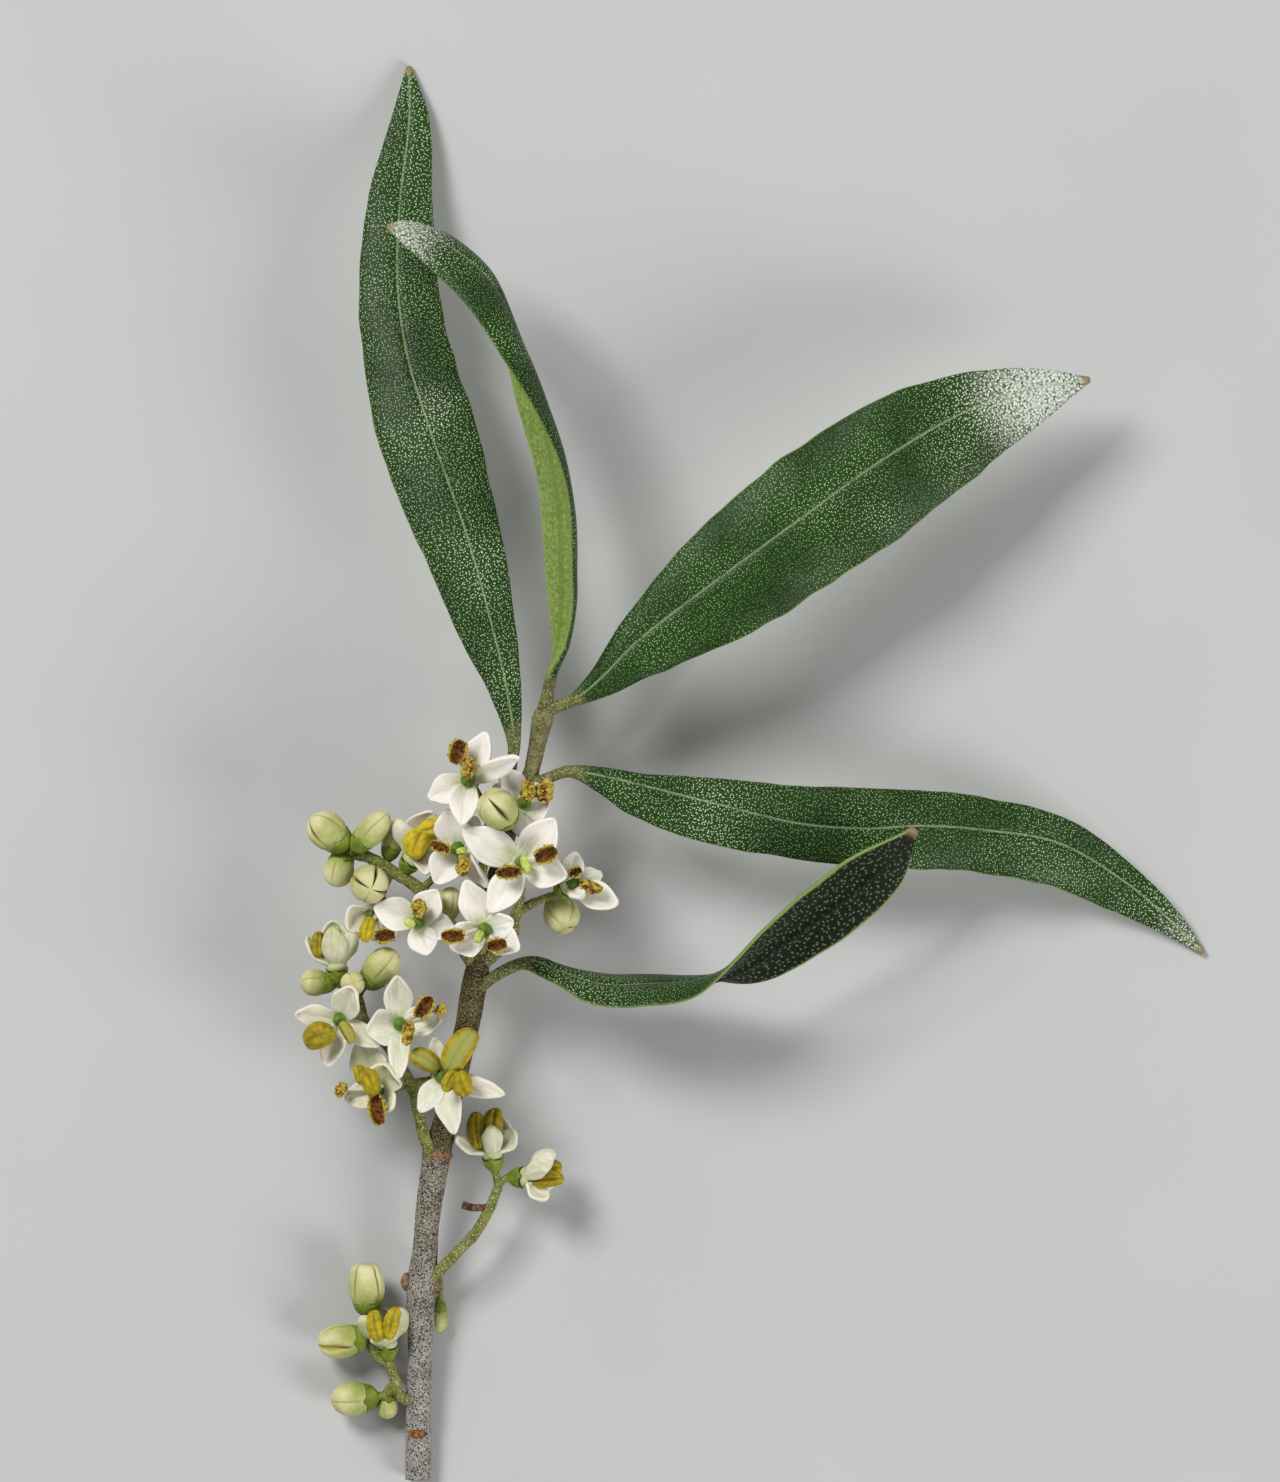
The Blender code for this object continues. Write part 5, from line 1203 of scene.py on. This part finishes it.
def calyx_skin(body, foot, way, radius, bud_radius):
    """A green cup with four short teeth that hug the bud or flower above it."""
    tooth = np.clip(np.cos(4 * circle(CUP_COLUMNS) + radius), 0, 1) ** 1.5
    ring = np.ones(CUP_COLUMNS)
    radii = [CUP_FOOT[0] * ring] + [radius * share * ring for share, _ in CUP]
    heights = [CUP_FOOT[1] * ring] + [height * ring for _, height in CUP]
    rim = radius + tooth * 0.1 * bud_radius
    radii += [rim, rim - 0.1, (radius - 0.22) * ring]
    heights += [0.05 + 0.3 * tooth, 0.04 + 0.28 * tooth, -0.1 * ring]
    body.skin(turned_rings(foot, way, np.array(radii), np.array(heights), CUP_COLUMNS), cup=1.0)


def stalk_skin(body, rows, stations, seed, **values):
    """A knobbly stalk along a path."""
    points, radii, out = tube_rings(rows, stations, STALK_COLUMNS)
    grid = points[:, None] + out * radii[:, None, None]
    lumps = 0.05 * rough(grid, 0.45, seed) + 0.06 * rough(grid, 1.4, seed)
    body.skin(grid + out * lumps[..., None], **values)


def side_stalk(body, foot, way, path, seed):
    """The short stalk from the spray's main stalk to a calyx."""
    start = path[np.argmin(np.linalg.norm(path - (foot - way), axis=1))]
    end = foot - way * 0.8
    bend = end - way * (np.linalg.norm(end - start) * 0.45)
    middle = start * 0.25 + bend * 0.5 + end * 0.25
    rows = [(*spot, radius) for spot, radius in zip((start, middle, end), SIDE_STALK)]
    stalk_skin(body, rows, 14, seed, cup=0.35)


def stem_body():
    """The stem with its cut face, its ring, its bumps and the end bud."""
    points, radii, out = tube_rings(STEM, STEM_STATIONS, STEM_COLUMNS)
    y = points[:, 1]
    radii = radii + 0.1 * bump_at(y, RING, 0.35) - 0.06 * bump_at(y, RING + 0.7, 0.4)
    radii = radii + 0.05 * bump_at(y, SWELLING, 0.8)
    grid = points[:, None] + out * radii[:, None, None]
    stretched = grid * np.array((1.0, 0.35, 1.0))
    lumps = 0.05 * rough(stretched, 0.8, 1.0) + 0.035 * rough(grid, 0.35, 2.0)
    grid = grid + out * lumps[..., None]
    shares = np.linspace(0.1, 0.98, CUT_RINGS)
    face = points[0] + (grid[0] - points[0]) * shares[:, None, None]
    young = 0.5 * smooth(y, *OLD_ENDS) + 0.5 * smooth(y, *NEW_ENDS)
    none = np.zeros(CUT_RINGS)
    body = Body()
    body.skin(np.concatenate([face, grid]), cut=CUT_RINGS,
              young=np.concatenate([none, young])[:, None],
              low=np.concatenate([none + 1, smooth(y, *GREY_ENDS)])[:, None],
              scar=np.concatenate([none, 0.8 * bump_at(y, RING, 0.3)])[:, None],
              reach=np.concatenate([shares, np.ones(len(y))])[:, None])
    for k, (centre, half) in enumerate(STEM_BUMPS):
        centre = np.array(centre)
        across, along, high = np.diag(half)
        grid = ball_rings(centre, (along, across, high))
        grid = grid + swell(grid, centre, 0.12 * rough(grid, 0.3, k))
        body.skin(grid, young=smooth(centre[1], *OLD_ENDS), scar=BUMP_SCARS[k])
    return body


def light(name, place_at, size, power):
    """A soft square lamp that looks at the middle of the branch."""
    lamp = bpy.data.lights.new(name, "AREA")
    lamp.size = size
    lamp.energy = power
    ob = bpy.data.objects.new(name, lamp)
    ob.location = place_at
    ob.rotation_euler = (-Vector(place_at)).to_track_quat("-Z", "Y").to_euler()
    ob.visible_camera = False
    bpy.context.scene.collection.objects.link(ob)


def studio():
    """Floor, daylight from all round and two soft lamps."""
    bpy.ops.mesh.primitive_plane_add(size=12.0)
    floor = bpy.context.object
    floor.name = "floor"
    floor.data.materials.append(floor_paint())
    world = bpy.data.worlds.new("daylight")
    bpy.context.scene.world = world
    world.use_nodes = True
    sky = world.node_tree.nodes["Background"]
    sky.inputs["Color"].default_value, sky.inputs["Strength"].default_value = DAYLIGHT
    for name, (place_at, size, power) in LAMPS.items():
        light(name, place_at, size, power)
    bpy.context.scene.view_settings.view_transform = "Standard"


def camera():
    """Straight above the part of the drawing that the photograph shows, far away with a long lens."""
    data = bpy.data.cameras.new("camera")
    data.lens = LENS
    data.sensor_width = SENSOR
    data.clip_end = 20.0
    ob = bpy.data.objects.new("camera", data)
    tall = PHOTO_HEIGHT * MM_PER_PIXEL
    aim = np.array(((PHOTO_WIDTH / 2 - STEM_PIXEL) * MM_PER_PIXEL, tall / 2, AIM_HEIGHT)) + ORIGIN
    ob.location = Vector(aim * MM) + Vector((0.0, 0.0, tall * MM * LENS / SENSOR))
    bpy.context.scene.collection.objects.link(ob)
    bpy.context.scene.camera = ob


camera()
studio()
place("stem_bark", stem_body(), [bark_paint(), wood_paint()], "stem")

leaf_plain = leaf_paint("leaf", *SAGE)
# Leaf_5 takes a copy of the leaf material whose underside colours are painted shade.
leaf_painted_shade = leaf_paint("leaf_painted_shade", *PAINTED_SHADE_UNDERSIDE)
for number, (name, rows) in enumerate(LEAVES.items()):
    paint = leaf_painted_shade if name == "leaf_5" else leaf_plain
    place(name + "_blade", leaf_body(name, rows, number + 1.0), [paint], name)

stalks = {}
paths = {}
for number, (name, branches) in enumerate(SPRAYS.items()):
    stalks[name] = Body()
    paths[name] = np.concatenate([route(rows, 4 * len(rows))[2:, :3] for rows in branches])
    girth = STALK_GIRTH.get(name, 1.0)
    for k, rows in enumerate(branches):
        rows = rooted(name, rows, (3,)) if k == 0 else rows
        rows = [(*row[:3], row[3] * girth) for row in rows]
        dry = 1.0 if (name, k) == DRY_STUB else 0.0
        stalk_skin(stalks[name], rows, STALK_STATIONS * len(rows), number + k * 0.4, dry=dry)

bud_material = bud_paint()
for name, (spray, foot, way, length, diameter) in BUDS.items():
    foot = np.array(foot)
    way = unit(np.array(way))
    radius = diameter / 2
    calyx_skin(stalks[spray], foot, way, radius * CUP_SHARE, radius)
    side_stalk(stalks[spray], foot, way, paths[spray], radius)
    place(name + "_petals", bud_body(name, foot, way, length, radius), [bud_material], name)

petal_material = petal_paint()
anther_materials = [anther_paint(), husk_paint(), petal_material]
pistil_material = pistil_paint()
for name, (spray, foot, way, bow_up, bow_out, petals, anthers) in FLOWERS.items():
    number = int(name.split("_")[1])
    foot = np.array(foot)
    way = unit(np.array(way))
    blooms = petals_body(name, number, foot, way, bow_up, bow_out, petals)
    place(name + "_petals", blooms, [petal_material], name)
    place(name + "_anthers", anthers_body(name, number, foot, way, anthers), anther_materials, name)
    place(name + "_pistil", pistil_body(name, foot, way), [pistil_material], name)
    calyx_skin(stalks[spray], foot, way, *FLOWER_CUP)
    side_stalk(stalks[spray], foot, way, paths[spray], 1.0)

stalk_material = stalk_paint()
for name, body in stalks.items():
    place(name + "_stalks", body, [stalk_material], name)
